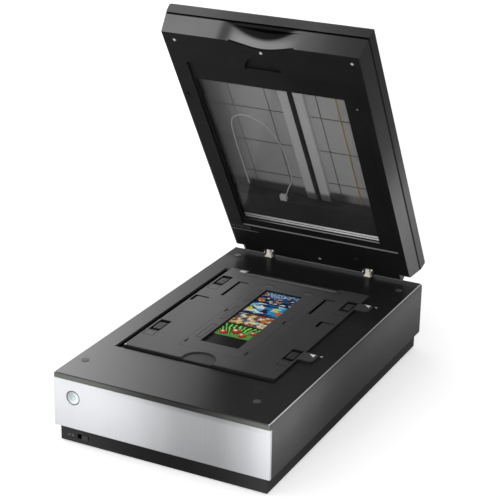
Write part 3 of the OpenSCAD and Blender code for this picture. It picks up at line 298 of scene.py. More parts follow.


# painted reflection: how much of the room the front's dark strip, bevel and nose mirror, from left to right
frontShine = [(-154, 1.0), (-90, 0.85), (-55, 0.55), (-25, 0.28), (30, 0.17), (60, 0.22), (90, 0.36),
              (120, 0.62), (154, 1.0)]
caseTop = {
    "light": grey(0.33), "dark": grey(0.016), "lip": grey(0.84), "nose": grey(0.10),
    "flatZ": (99.75, 99.9), "bevelZ": (98.7, 98.8), "noseZ": 97.0, "noseDepth": 3.0, "sideX": (150.0, 151.2),
    "glowFrom": 95.0, "glowOver": 250.0, "slant": 0.38, "falloff": 1.5,
    "shadeY": (395.0, 430.0), "shadeX": (-145.0, -105.0), "shade": 0.95,
    "rough": 0.30, "scratch": 0.05, "coat": 0.3, "coatRough": 0.26, "dullY": (450.0, 472.0), "dull": 0.85,
    "wallAlong": [(0, 1.0), (80, 0.88), (150, 0.60), (225, 0.38), (330, 0.50), (498, 0.77)],
    "wallUp": [(22, 0.40), (60, 0.72), (85, 1.0), (98, 0.95)],
}


def caseLook(paint, point, colour, rough):
    # satin lacquered top with a painted reflection glowing at the left front and a painted shadow at the
    # rear left, satin walls in painted shade, a painted highlight on the side bevels and the painted
    # reflection on the front's nose
    look = caseTop
    x, y, z = paint.split(point)
    y = y - frontY
    top = z.over(*look["flatZ"])
    bevel = z.over(*look["bevelZ"]) * (1 - top)
    side = x.size().over(*look["sideX"])
    # painted shade on the walls, darker half way along and towards the foot
    wall = paint.run(y, look["wallAlong"]) * paint.run(z, look["wallUp"])
    glow = ((look["glowFrom"] * mm - x - y * look["slant"]) / (look["glowOver"] * mm)).clip()
    shaded = y.over(*look["shadeY"]) * x.over(*look["shadeX"]) * look["shade"]
    glow = glow.power(look["falloff"]) * (1 - shaded)
    colour = paint.mix(top, paint.shade(wall, colour), paint.mix(glow, look["dark"], look["light"]))
    colour = paint.mix(bevel * side, colour, paint.shade(wall, look["lip"]))
    nose = (z > look["noseZ"] * mm) * (1 - top) * (1 - side) * (y < look["noseDepth"] * mm)
    colour = paint.mix(nose, colour, paint.shade(paint.run(x, frontShine), look["nose"]))
    scratch = paint.noise(point, 90.0, 4.0, (1.0, 9.0, 1.0)).ease(0.52, 0.75)
    shine = look["rough"] + scratch * look["scratch"]
    paint.give(Coat_Weight=top * (1 - y.over(*look["dullY"]) * look["dull"]) * look["coat"],
               Coat_Roughness=look["coatRough"])
    return colour, rough * (1 - top) + shine * top


def trimLook(paint, point, colour, rough):
    # painted reflection of the room along the strip, dimmer in the middle
    x, y, z = paint.split(point)
    return paint.shade(paint.run(x, frontShine), colour), rough


trayWalls = {
    "front": [(-154, 1.0), (-100, 0.75), (-50, 0.42), (0, 0.28), (50, 0.30), (100, 0.55), (154, 1.0)],
    "flank": [(0, 0.9), (100, 0.50), (200, 0.26), (300, 0.24), (400, 0.42), (498, 0.7)],
}


def trayLook(paint, point, colour, rough):
    # black walls, with painted shade along the middle of the front and of both sides
    x, y, z = paint.split(point)
    ahead = paint.facing((0, -1, 0)).ease(0.5, 0.8)
    tone = paint.run(x, trayWalls["front"]) * ahead + paint.run(y - frontY, trayWalls["flank"]) * (1 - ahead)
    return paint.shade(tone, colour), rough


capShade = {"middleZ": 68.0, "slant": 0.6, "run": [(-136, 0.45), (-130, 0.58), (-124, 0.85), (-116, 1.0)]}


def buttonLook(paint, point, colour, rough):
    # the cap's left half lies in its own shade
    x, y, z = paint.split(point)
    across = x - (z - capShade["middleZ"] * mm) * capShade["slant"]
    return paint.shade(paint.run(across, capShade["run"]), colour), rough


lidScrews = {"spots": [(-125.5, 424.0), (0.8, 421.0), (129.0, 424.0), (-2.0, 2.5)], "crown": (2.2, 1.4),
             "round": grey(0.024)}


def screwLook(paint, point, colour, rough):
    # painted highlight: a bright crown on each of the lid's screws, dark round it
    x, v, w = onLid(paint)
    crowns = [distance(x - at * mm, v - up * mm).over(*lidScrews["crown"])
              for at, up in lidScrews["spots"]]
    return paint.mix(sum(crowns), lidScrews["round"], colour), rough


louvre = {"x": -133.0, "v": 43.3, "pitch": 5.0, "count": 6, "tall": 4.6, "lean": 0.32, "middle": 0.22,
          "edge": (0.13, 0.05), "deep": 3.0, "show": 0.7}
panelEdges = {"colour": grey(0.24), "line": (0.9, 0.3), "fold": 50.0, "foldX": (-126.0, 132.0),
              "foldW": (2.0, 1.3, 0.8), "sill": 62.0, "sillX": (-120.0, -45.0), "sillW": 4.0,
              "front": 38.5, "frontX": -95.0, "frontW": 3.0, "frontShow": 0.6}


def panelLook(paint, point, colour, rough):
    # black panel with painted highlights: a pale line over each louvre, on the sunk field's rear wall, under
    # the window and beside the louvres
    x, v, w = onLid(paint)
    off = v - louvre["v"] * mm
    pitch = louvre["pitch"] * mm
    step = (x - louvre["x"] * mm + 0.5 * pitch + off * louvre["lean"]) / pitch
    inRow = ((step > 0.0) * (step < louvre["count"]) * (off.size() < louvre["tall"] * mm)
             * (w < louvre["deep"] * mm))
    blade = (step.part() - louvre["middle"]).size().ease(*louvre["edge"]) * inRow * louvre["show"]
    look = panelEdges
    left, right = look["foldX"]
    fold = v.near(look["fold"], *look["line"]) * (x > left * mm) * (x < right * mm) * w.near(*look["foldW"])
    sill = v.near(look["sill"], *look["line"]) * x.over(*look["sillX"]) * (w > look["sillW"] * mm)
    front = v.near(look["front"], *look["line"]) * (x < look["frontX"] * mm) * (w < look["frontW"] * mm)
    return paint.mix((blade + fold + sill + front * look["frontShow"]).clip(), colour, look["colour"]), rough


lidWalls = {
    "shell": [(-150, 0.92), (-70, 0.88), (50, 0.62), (90, 0.32), (150, 0.15)],
    "cover": [(-150, 0.66), (-100, 0.60), (-60, 0.46), (0, 0.34), (60, 0.36), (90, 0.32), (150, 0.20)],
    "side": [(-20, 0.72), (20, 0.84), (100, 1.0), (150, 0.96), (205, 0.58), (255, 0.30), (320, 0.17),
             (445, 0.09)],
    "coverW": (27.2, 27.6), "coverLoss": 0.2, "outer": 0.55,
    "seamW": 26.8, "seam": (1.4, 0.7), "seamThin": 0.55, "seamLoss": 0.96,
}
scoop = {
    "x": -3.0, "v": 400.0, "floorW": 13.8, "curve": 4.6, "blur": 3.0, "shellTop": 27.2, "loss": 0.92,
    "turn": (-51.0, 14.0, 2.0), "turnW": (26.5, 27.5), "turnLoss": 0.62,
    "lip": grey(0.60), "lipShow": 0.36, "lipW": (8.0, 18.0), "lipFrom": 1.0,
    "lipLeft": (-50.0, -26.0), "lipRight": (30.0, 60.0),
}


def shellLook(paint, point, colour, rough):
    # the lid's walls in painted light and shade: lighter to the left and to the hinges, the cover's band
    # darker, a dark seam line, painted shade down in the finger scoop and where its left side turns in, and
    # a painted highlight on the scoop's lower lip
    look = lidWalls
    x, v, w = onLid(paint)
    ahead = lidFacing(paint, (0, -1, 0)).ease(0.5, 0.75)
    upper = w.over(*look["coverW"])
    front = paint.run(x, look["shell"]) * (1 - upper) + paint.run(x, look["cover"]) * upper
    side = paint.run(v, look["side"]) * (1 - upper * look["coverLoss"])
    thin = look["seamThin"]
    seam = ((w - look["seamW"] * mm).size() * (thin + ahead * (1 - thin))).over(*look["seam"])
    tone = (front * ahead + side * (1 - ahead)) * (1 - seam * look["seamLoss"])

    floor = w - scoop["floorW"] * mm - (x - scoop["x"] * mm).power(2.0) * scoop["curve"]
    hollow = floor.over(-scoop["blur"], scoop["blur"]) * (v > scoop["v"] * mm) * (w < scoop["shellTop"] * mm)
    turn = x.near(*scoop["turn"]) * (1 - w.over(*scoop["turnW"])) * ahead
    tone = tone * (1 - hollow * scoop["loss"]) * (1 - turn * scoop["turnLoss"])
    lip = ((1 - w.over(*scoop["lipW"])) * (w > scoop["lipFrom"] * mm) * ahead
           * x.over(*scoop["lipLeft"]) * (1 - x.over(*scoop["lipRight"])))
    colour = paint.mix(lip * scoop["lipShow"], colour, scoop["lip"])

    outer = lidFacing(paint, (0, 0, 1)).ease(0.6, 0.85)
    return paint.shade(tone * (1 - outer) + outer * look["outer"], colour), rough


holderTop = {
    "across": [(-115, 0.92), (-80, 1.0), (-40, 0.88), (50, 0.50), (85, 0.40), (130, 0.36)],
    "deep": [(105, 0.62), (180, 0.70), (300, 0.88), (412, 1.05)],
    "wall": 0.05, "frontY": (106.8, 108.2), "frontLoss": 0.85,
    "notch": (-5.0, 111.0), "notchOut": 23.2, "notchZ": 103.4, "notchLoss": 0.55,
    "rim": (1.6, 0.9), "rimLoss": 0.85,
    "ridge": (401.4, 2.0, 1.1), "ridgeX": (-83.0, 60.0), "ridgeShow": 0.85, "ridgeColour": grey(0.40),
}


def holderLook(paint, point, colour, rough):
    # matt top in painted light and shade: lighter to the left and to the back, its walls and front edge in
    # painted shade, painted shade in the sunk half round at its front edge with a darker rim, and a painted
    # highlight along the rear ridge
    look = holderTop
    x, y, z = paint.split(point)
    y = y - frontY
    level = paint.facing((0, 0, 1)) > 0.5
    middleX, middleY = look["notch"]
    reach = distance(x - middleX * mm, y - middleY * mm)
    sunk = (reach < look["notchOut"] * mm) * (z < look["notchZ"] * mm)
    rim = sunk * reach.over(*(look["notchOut"] - inward for inward in look["rim"]))
    tone = paint.run(x, look["across"]) * paint.run(y, look["deep"])
    tone = tone * (1 - sunk * look["notchLoss"]) * (1 - rim * look["rimLoss"])
    tone = tone * (1 - (1 - y.over(*look["frontY"])) * look["frontLoss"])
    colour = paint.shade(tone * level + (1 - level) * look["wall"], colour)
    left, right = look["ridgeX"]
    ridge = y.near(*look["ridge"]) * (x > left * mm) * (x < right * mm) * level
    return paint.mix(ridge * look["ridgeShow"], colour, look["ridgeColour"]), rough


rail = {"slot": (6.2, 14.6), "dark": grey(0.024), "screw": (1.9, 1.33), "screwColour": grey(0.95),
        "screwX": (-4.8, 25.8), "screwV": (40, 79, 146, 213, 280), "shadeV": (120.0, 130.0), "shade": 0.8}


def railLook(paint, point, colour, rough):
    # pale rail with a dark slot down it, the light unit's painted shadow across its hinge end and painted
    # highlights for bright screw heads along both edges
    x, v, w = onLid(paint)
    left, right = rail["slot"]
    colour = paint.shade(1 - (1 - v.over(*rail["shadeV"])) * rail["shade"], colour)
    colour = paint.mix((x > left * mm) * (x < right * mm), colour, rail["dark"])
    for at in rail["screwX"]:
        for up in rail["screwV"]:
            head = distance(x - at * mm, v - up * mm).over(*rail["screw"])
            colour = paint.mix(head, colour, rail["screwColour"])
    return colour, rough


lightBars = {"glow": [(-120, 0.0), (-107, 0.07), (-57, 0.51), (-8, 0.66), (40, 0.92), (110, 0.84)],
             "colour": grey(0.9), "strength": 0.8}


def barLook(paint, point, colour, rough):
    # painted glow: the milky light bars, which are not lit, give off light that grows to the right, in place
    # of the light they catch
    x, v, w = onLid(paint)
    paint.give(Emission_Color=paint.shade(paint.run(x, lightBars["glow"]), lightBars["colour"]),
               Emission_Strength=lightBars["strength"])
    return colour, rough


silver = {
    "colour": rgb(0.70, 0.712, 0.737), "tint": rgb(0.725, 0.737, 0.76), "flake": rgb(0.80, 0.81, 0.83),
    "flakeSize": 3800.0, "flakeShow": 0.12, "flakeRough": 0.12, "cloud": 6.0, "peel": 420.0, "lines": 700.0,
    "depth": 0.012, "strength": 0.3, "edge": 0.7,
    "rough": 0.34, "metal": 0.45, "coat": 0.15, "coatRough": 0.2,
    "across": [(-154, 1.0), (-80, 0.95), (-30, 0.75), (15, 0.49), (60, 0.40), (95, 0.46), (128, 0.72),
               (154, 0.98)],
    "upward": [(25, 0.84), (60, 0.96), (98, 1.0)], "topZ": (83.0, 91.0), "topLoss": 0.55, "brushed": 0.06,
}


def silverPaint(name, look):
    # brushed metallic lacquer: fine flake and faint upright lines, with painted reflection and shade: a
    # broad darker band right of the middle, darker towards the foot and, along the band, towards the top
    paint = newPaint(name)
    point = paint.place()
    x, y, z = paint.split(point)
    flake = paint.cells(point, look["flakeSize"], "Distance")
    peel = paint.noise(point, look["peel"], 2.0)
    cloud = paint.noise(point, look["cloud"], 2.0)
    lines = paint.noise(point, look["lines"], 3.0, (1.0, 1.0, 0.02))
    band = paint.run(x, look["across"])
    low = paint.run(z, look["upward"]) * (1 - z.over(*look["topZ"]) * (1 - band) * look["topLoss"])
    colour = paint.mix(cloud, look["colour"], look["tint"])
    colour = paint.mix(flake.ease(0.25, 0.6) * look["flakeShow"], colour, look["flake"])
    colour = paint.shade((band * low + (lines - 0.5) * look["brushed"]).clip(), colour)
    paint.give(Base_Color=colour, Metallic=look["metal"],
               Roughness=look["rough"] + (flake - 0.4) * look["flakeRough"],
               Normal=paint.bump(peel, look["depth"], look["strength"], paint.rounded(look["edge"])),
               Coat_Weight=look["coat"], Coat_Roughness=look["coatRough"])
    return paint.owner


drawnMetal = {"lines": 900.0, "stretch": (0.02, 1.0, 1.0), "cloud": 40.0, "streak": 0.2, "stain": 0.08,
              "edge": 0.25, "depth": 0.01, "strength": 0.3}


def metal(name, own):
    # plain metal with a drawn or ground grain along one axis
    look = {**drawnMetal, **own}
    paint = newPaint(name)
    point = paint.place()
    lines = paint.noise(point, look["lines"], 2.0, look["stretch"])
    cloud = paint.noise(point, look["cloud"], 3.0)
    colour = paint.mix(cloud.ease(0.35, 0.7), look["colour"], look["tint"])
    rough = look["rough"] + (lines - 0.5) * look["streak"] + cloud * look["stain"]
    paint.give(Base_Color=colour, Metallic=1.0, Roughness=rough,
               Normal=paint.bump(lines, look["depth"], look["strength"], paint.rounded(look["edge"])))
    return paint.owner


clearSheet = {"smear": 22.0, "smearRough": 0.05, "smearShow": 0.01, "blend": 0.22, "specular": 0.9}


def clear(name, own):
    # see-through sheet: clear from the front, reflecting at a low angle, a trace of smears
    look = {**clearSheet, **own}
    paint = newPaint(name)
    smear = paint.noise(paint.place(), look["smear"], 3.0).ease(0.55, 0.8)
    facing = paint.node("ShaderNodeLayerWeight", inputs={"Blend": look["blend"]}, output="Fresnel")
    paint.give(Base_Color=look["colour"], Roughness=look["rough"] + smear * look["smearRough"],
               Specular_IOR_Level=look["specular"])
    bare = paint.node("ShaderNodeBsdfTransparent", inputs={0: look["through"]})
    body = Wire(paint, paint.shader.outputs[0])
    amount = (facing * look["shine"] + look["least"] + smear * look["smearShow"]).clip()
    both = paint.node("ShaderNodeMixShader", inputs={0: amount, 1: bare, 2: body})
    paint.tree.links.new(both.socket, paint.tree.nodes["Material Output"].inputs["Surface"])
    return paint.owner


blackRubber = {"colour": grey(0.024), "tint": grey(0.040), "rough": 0.72, "specular": 0.3,
               "bloom": 160.0, "pores": 3000.0, "spread": 0.1, "depth": 0.03, "strength": 0.5, "edge": 0.4}


def rubber(name, look):
    paint = newPaint(name)
    point = paint.place()
    bloom = paint.noise(point, look["bloom"], 4.0)
    pores = paint.noise(point, look["pores"], 2.0)
    colour = paint.mix(bloom.ease(0.4, 0.75), look["colour"], look["tint"])
    paint.give(Base_Color=colour, Roughness=look["rough"] + (pores - 0.5) * look["spread"],
               Specular_IOR_Level=look["specular"],
               Normal=paint.bump(pores, look["depth"], look["strength"], paint.rounded(look["edge"])))
    return paint.owner


greenBoard = {"colour": rgb(0.02, 0.15, 0.05), "tint": rgb(0.03, 0.24, 0.09),
              "tracks": 260.0, "gap": 0.09, "trackShow": 0.6, "rough": 0.42, "shine": 0.1,
              "solder": rgb(0.55, 0.50, 0.36), "spots": 320.0, "spotSize": 0.16, "spotShow": 0.7,
              "depth": 0.03, "strength": 0.4, "edge": 0.2}


def board(name, look):
    # solder mask over copper tracks
    paint = newPaint(name)
    point = paint.place()
    tracks = paint.node("ShaderNodeTexBrick", {"offset": 0.35, "squash": 1.6},
                        {"Vector": point, "Scale": look["tracks"], "Mortar Size": look["gap"]}, "Fac")
    spots = paint.cells(point, look["spots"], "Distance") < look["spotSize"]
    colour = paint.mix(tracks * look["trackShow"], look["colour"], look["tint"])
    colour = paint.mix(spots * look["spotShow"], colour, look["solder"])
    paint.give(Base_Color=colour, Roughness=look["rough"] - tracks * look["shine"],
               Normal=paint.bump(tracks, look["depth"], look["strength"], paint.rounded(look["edge"])))
    return paint.owner


backPlate = {
    "dark": grey(0.82), "light": grey(0.92), "seam": grey(0.10), "seamWidth": (1.1, 0.55),
    "acrossAt": (79, 146, 213, 280), "alongAt": (-88, -32, 45), "alongShow": 0.8,
    "run": [(-122, 0.16), (-100, 0.32), (-75, 0.58), (-40, 0.70), (0, 0.74), (60, 0.86), (110, 0.76)],
    "shadeV": (122.0, 131.0), "shade": 0.88, "openX": (45.0, 65.0), "open": 0.35,
    "metal": 0.1, "rough": 0.42, "rolled": 0.12, "cloud": 7.0, "lines": 500.0,
    "depth": 0.01, "strength": 0.3, "edge": 0.4,
}


def platePaint(name, look):
    # satin grey sheet in lapped panels, in painted light and shade: darkest at the left, lighter to the
    # right, and the light unit's painted shadow at the bottom
    paint = newPaint(name)
    point = paint.turned(lidFrame)
    x, back, w = paint.split(point)
    cloud = paint.noise(point, look["cloud"], 3.0)
    lines = paint.noise(point, look["lines"], 2.0, (1.0, 0.03, 1.0))
    shadow = (1 - (-back).over(*look["shadeV"])) * (look["shade"] - x.over(*look["openX"]) * look["open"])
    colour = paint.mix(cloud.ease(0.3, 0.7), look["dark"], look["light"])
    colour = paint.shade(paint.run(x, look["run"]) * (1 - shadow), colour)
    for v in look["acrossAt"]:
        colour = paint.mix((-back).near(v, *look["seamWidth"]), colour, look["seam"])
    for at in look["alongAt"]:
        colour = paint.mix(x.near(at, *look["seamWidth"]) * look["alongShow"], colour, look["seam"])
    paint.give(Base_Color=colour, Metallic=look["metal"],
               Roughness=look["rough"] + (lines - 0.5) * look["rolled"],
               Normal=paint.bump(lines, look["depth"], look["strength"], paint.rounded(look["edge"])))
    return paint.owner


# the film and its four made-up pictures

film = {"left": -33.75, "right": 27.75, "first": 198.0, "pitch": 42.0, "edge": 3.2, "bar": 3.8,
        "aspect": 1.45, "leader": rgb(0.012, 0.010, 0.010), "grain": grey(0.1), "grainShow": 0.10,
        "rough": 0.22, "grainRough": 0.08, "specular": 0.05, "ripple": 130.0, "wobble": (0.25, 0.2),
        "soft": 0.02}
grass = {"from": (0.7, -0.35), "blades": 46.0, "sway": 9.0, "shade": rgb(0.007, 0.091, 0.019),
         "blade": rgb(0.091, 0.52, 0.039), "bladeEdge": (-0.3, 0.3),
         "tip": rgb(0.546, 0.936, 0.26), "tipEdge": (0.7, 0.95),
         "berries": [(0.20, 0.30, 0.13), (0.44, 0.52, 0.15), (0.66, 0.30, 0.12), (0.84, 0.58, 0.11)],
         "discs": [(0.02, -0.04, 1.1, rgb(0.013, 0.026, 0.013)),  # shadow: right, up, size, colour
                   (0.0, 0.0, 1.0, rgb(0.806, 0.026, 0.026)),  # berry
                   (-0.03, 0.05, 0.4, rgb(0.95, 0.95, 0.91))]}  # gleam
leaves = {"scale": 7.5, "stretch": 0.8, "seed": 2.0, "twig": rgb(0.026, 0.013, 0.013), "twigs": 40.0,
          "twigEdge": (0.75, 0.95), "twigShow": 0.8,
          "tones": [rgb(0.026, 0.016, 0.013), rgb(0.806, 0.286, 0.039), rgb(0.95, 0.78, 0.39),
                    rgb(0.208, 0.065, 0.026), rgb(0.95, 0.95, 0.806), rgb(0.624, 0.13, 0.026),
                    rgb(0.13, 0.182, 0.312)]}
water = {"scale": 9.0, "stretch": 0.45, "seed": 5.0,
         "tones": [rgb(0.013, 0.039, 0.156), rgb(0.039, 0.338, 0.65), rgb(0.39, 0.858, 0.95),
                   rgb(0.026, 0.156, 0.442), rgb(0.95, 0.95, 0.95), rgb(0.052, 0.442, 0.806)],
         "sails": [(0.14, 0.30, rgb(0.95, 0.858, 0.052)), (0.34, 0.52, rgb(0.95, 0.95, 0.95)),
                   (0.52, 0.24, rgb(0.013, 0.026, 0.078)), (0.72, 0.46, rgb(0.95, 0.78, 0.039)),
                   (0.88, 0.26, rgb(0.78, 0.156, 0.039))],
         "lean": 0.12, "narrow": 3.4, "taper": 1.4, "spread": 0.42}
village = {"scale": 10.0, "stretch": 0.7, "seed": 8.0, "sky": rgb(0.026, 0.13, 0.468),
           "cloud": rgb(0.65, 0.95, 0.95), "clouds": 260.0, "cloudFlat": (1.0, 2.2, 1.0),
           "cloudEdge": (0.46, 0.60), "ridge": 0.52, "hills": 9.0, "height": 0.12, "rough": 0.2,
           "tones": [rgb(0.005, 0.013, 0.039), rgb(0.026, 0.104, 0.286), rgb(0.91, 0.338, 0.078),
                     rgb(0.008, 0.026, 0.065), rgb(0.95, 0.95, 0.95), rgb(0.026, 0.065, 0.182)]}


class Slide:
    # the places on one picture: across and up from 0 to 1, and a slow ripple
    def __init__(self, paint, across, up):
        self.paint, self.across, self.up = paint, across, up
        self.wide = across * film["aspect"]
        self.ripple = paint.noise(paint.place(), film["ripple"], 3.0)

    def disc(self, x, y, radius):
        reach = distance((self.across - x) * film["aspect"], self.up - y)
        return 1 - reach.ease(radius - film["soft"], radius + film["soft"])

    def chips(self, look):
        # flat patches, each in one of the tones
        sideways, upward = film["wobble"]
        x = self.wide * look["stretch"] + self.ripple * sideways
        y = self.up + self.ripple * upward
        spot = self.paint.node("ShaderNodeCombineXYZ", inputs={0: x, 1: y, 2: look["seed"]})
        number = self.paint.split(self.paint.cells(spot, look["scale"], "Color"))[0]
        tones = look["tones"]
        colour = tones[0]
        for step, tone in enumerate(tones[1:], 1):
            colour = self.paint.mix(number > step / len(tones), colour, tone)
        return colour


def grassPicture(paint, slide, look):
    # berries in long grass, seen along the ground
    rootX, rootY = look["from"]
    fan = (slide.wide - rootX) / (slide.up - rootY) * look["blades"]
    blade = (fan + slide.ripple * look["sway"]).sine()
    picture = paint.mix(blade.ease(*look["bladeEdge"]), look["shade"], look["blade"])
    picture = paint.mix(blade.ease(*look["tipEdge"]), picture, look["tip"])
    for x, y, radius in look["berries"]:
        for right, up, size, tone in look["discs"]:
            picture = paint.mix(slide.disc(x + right, y + up, radius * size), picture, tone)
    return picture


def leavesPicture(paint, slide, look):
    # fallen leaves with dark twigs over them
    twig = (slide.ripple * look["twigs"]).sine().ease(*look["twigEdge"])
    return paint.mix(twig * look["twigShow"], slide.chips(look), look["twig"])


def sailsPicture(paint, slide, look):
    # sails on broken water
    picture = slide.chips(look)
    for x, base, tone in look["sails"]:
        above = slide.up - base
        width = (slide.across - x + above * look["lean"]).size() * look["narrow"] + above * look["taper"]
        picture = paint.mix((width < look["spread"]) * (slide.up > base), picture, tone)
    return picture


def villagePicture(paint, slide, look):
    # roofs of a village under a cloudy sky
    cloud = paint.noise(paint.place(), look["clouds"], 3.0, look["cloudFlat"]).ease(*look["cloudEdge"])
    sky = paint.mix(cloud, look["sky"], look["cloud"])
    hills = (slide.across * look["hills"] + 1).sine() * look["height"]
    above = slide.up - look["ridge"] - hills - slide.ripple * look["rough"]
    return paint.mix(above.ease(-film["soft"], film["soft"]), slide.chips(look), sky)


def filmPaint(name, look):
    # colour film: four pictures between dark bars, on a dark leader
    paint = newPaint(name)
    x, y, z = paint.split(paint.place())
    across = (x - look["left"] * mm) / ((look["right"] - look["left"]) * mm)
    along = (y - (look["first"] * mm + frontY)) / (look["pitch"] * mm)
    up = along.part()
    count = along.floor()
    slide = Slide(paint, across, up)
    picture = grassPicture(paint, slide, grass)
    picture = paint.mix(count > 0.5, picture, leavesPicture(paint, slide, leaves))
    picture = paint.mix(count > 1.5, picture, sailsPicture(paint, slide, water))
    picture = paint.mix(count > 2.5, picture, villagePicture(paint, slide, village))
    margin = look["edge"] / (look["right"] - look["left"])
    bar = look["bar"] / look["pitch"] / 2
    shown = ((across > margin) * (across < 1 - margin) * (up > bar) * (up < 1 - bar)
             * (along > 0.0) * (along < 3.99))
    grain = paint.noise(paint.place(), 2400.0, 3.0)
    colour = paint.mix(shown, look["leader"], picture)
    colour = paint.mix(grain * look["grainShow"], colour, look["grain"])
    paint.give(Base_Color=colour, Roughness=look["rough"] + grain * look["grainRough"],
               Specular_IOR_Level=look["specular"])
    return paint.owner


plastics = {
    "case": {"colour": grey(0.172), "tint": grey(0.192), "rim": grey(0.4), "rough": 0.44, "edge": 0.8,
             "wear": 0.3, "specular": 0.025, "extra": caseLook},
    "trim": {"colour": rgb(0.15, 0.156, 0.14), "tint": rgb(0.17, 0.176, 0.16), "rim": grey(0.32),
             "rough": 0.38, "specular": 0.04, "extra": trimLook},
    "tray": {"colour": grey(0.038), "tint": grey(0.043), "rim": grey(0.14), "rough": 0.55,
             "specular": 0.035, "extra": trayLook},
    "inner": {"colour": grey(0.0084), "tint": grey(0.0108), "rim": grey(0.07), "rough": 0.46, "edge": 0.4,
              "grain": 3200.0, "wear": 0.5, "specular": 0.038, "extra": panelLook},
    "lidScrew": {"colour": grey(0.60), "tint": grey(0.68), "rim": grey(0.5), "rough": 0.3, "edge": 0.2,
                 "extra": screwLook},
    "shell": {"colour": grey(0.2), "tint": grey(0.22), "rim": grey(0.52), "rough": 0.40, "edge": 0.9,
              "wear": 0.5, "specular": 0.025, "extra": shellLook},
    "holder": {"colour": grey(0.154), "tint": grey(0.172), "rim": grey(0.4), "rough": 0.46, "edge": 0.35,
               "wear": 0.6, "grain": 3000.0, "specular": 0.24, "extra": holderLook},
    "adjuster": {"colour": grey(0.12), "tint": grey(0.136), "rim": grey(0.4), "rough": 0.4, "edge": 0.3,
                 "wear": 0.6, "extra": holderLook},
    "darkPlastic": {"colour": grey(0.028), "tint": grey(0.04), "rim": grey(0.12), "rough": 0.5},
    "ivory": {"colour": rgb(0.842, 0.81, 0.713), "tint": rgb(0.907, 0.875, 0.778),
              "rim": rgb(0.95, 0.95, 0.886), "rough": 0.36, "edge": 0.4},
    "lampWhite": {"colour": grey(0.86), "tint": grey(0.90), "rim": grey(0.95), "rough": 0.25, "edge": 0.3},
    "lead": {"colour": rgb(0.88, 0.87, 0.84), "tint": grey(0.95), "rim": grey(0.95), "rough": 0.4,
             "edge": 0.15, "specular": 0.2},
    "bar": {"colour": grey(0.90), "tint": grey(0.94), "rim": grey(0.95), "rough": 0.25, "edge": 0.3,
            "extra": barLook},
    "rail": {"colour": grey(0.864), "tint": grey(0.95), "rim": grey(0.95), "rough": 0.4, "edge": 0.3,
             "extra": railLook},
    "bumper": {"colour": grey(0.05), "tint": grey(0.065), "rim": grey(0.2), "rough": 0.4, "edge": 0.3},
    "button": {"colour": rgb(0.828, 0.864, 0.9), "tint": rgb(0.9, 0.936, 0.95), "rim": grey(0.9),
               "rough": 0.36, "specular": 0.1, "extra": buttonLook},
    "ring": {"colour": rgb(0.07, 0.08, 0.09), "tint": rgb(0.1, 0.11, 0.12), "rim": grey(0.16),
             "rough": 0.4, "specular": 0.1},
    "print": {"colour": grey(0.806), "tint": grey(0.91), "rim": grey(0.91), "rough": 0.5, "edge": 0.05},
    "greyPrint": {"colour": grey(0.12), "tint": grey(0.16), "rim": grey(0.18), "rough": 0.5,
                  "edge": 0.05, "specular": 0.1},
    "mint": {"colour": rgb(0.051, 0.442, 0.34), "tint": rgb(0.085, 0.544, 0.425),
             "rim": rgb(0.17, 0.68, 0.51), "rough": 0.4, "edge": 0.05, "specular": 0.1},
    "wire": {"colour": rgb(0.806, 0.585, 0.156), "tint": rgb(0.884, 0.65, 0.195),
             "rim": rgb(0.95, 0.78, 0.26), "rough": 0.3, "edge": 0.1},
}
metals = {
    "blackSteel": {"colour": grey(0.035), "tint": grey(0.05), "rough": 0.4},
    "steel": {"colour": grey(0.52), "tint": grey(0.60), "rough": 0.26},
    "aluminium": {"colour": grey(0.42), "tint": grey(0.50), "rough": 0.36, "stretch": (1.0, 0.03, 1.0)},
    "brass": {"colour": rgb(0.52, 0.38, 0.14), "tint": rgb(0.60, 0.46, 0.20), "rough": 0.3},
    "mirror": {"colour": grey(0.86), "tint": grey(0.90), "rough": 0.06},
}
sheets = {
    "glass": {"colour": grey(0.02), "through": rgb(0.90, 0.94, 0.92), "rough": 0.02, "shine": 0.8,
              "least": 0.03},
    "lidGlass": {"colour": grey(0.03), "through": grey(0.96), "rough": 0.03, "shine": 0.5, "least": 0.035},
    "sheet": {"colour": grey(0.05), "through": rgb(0.94, 0.95, 0.95), "rough": 0.06, "shine": 0.14,
              "least": 0.006},
}
finishes = {
    "silver": silverPaint("silver", silver),
    "rubber": rubber("rubber", blackRubber),
    "board": board("board", greenBoard),
    "plate": platePaint("plate", backPlate),
    "film": filmPaint("film", film),
}
for make, looks in ((moulded, plastics), (metal, metals), (clear, sheets)):
    finishes.update({name: make(name, look) for name, look in looks.items()})

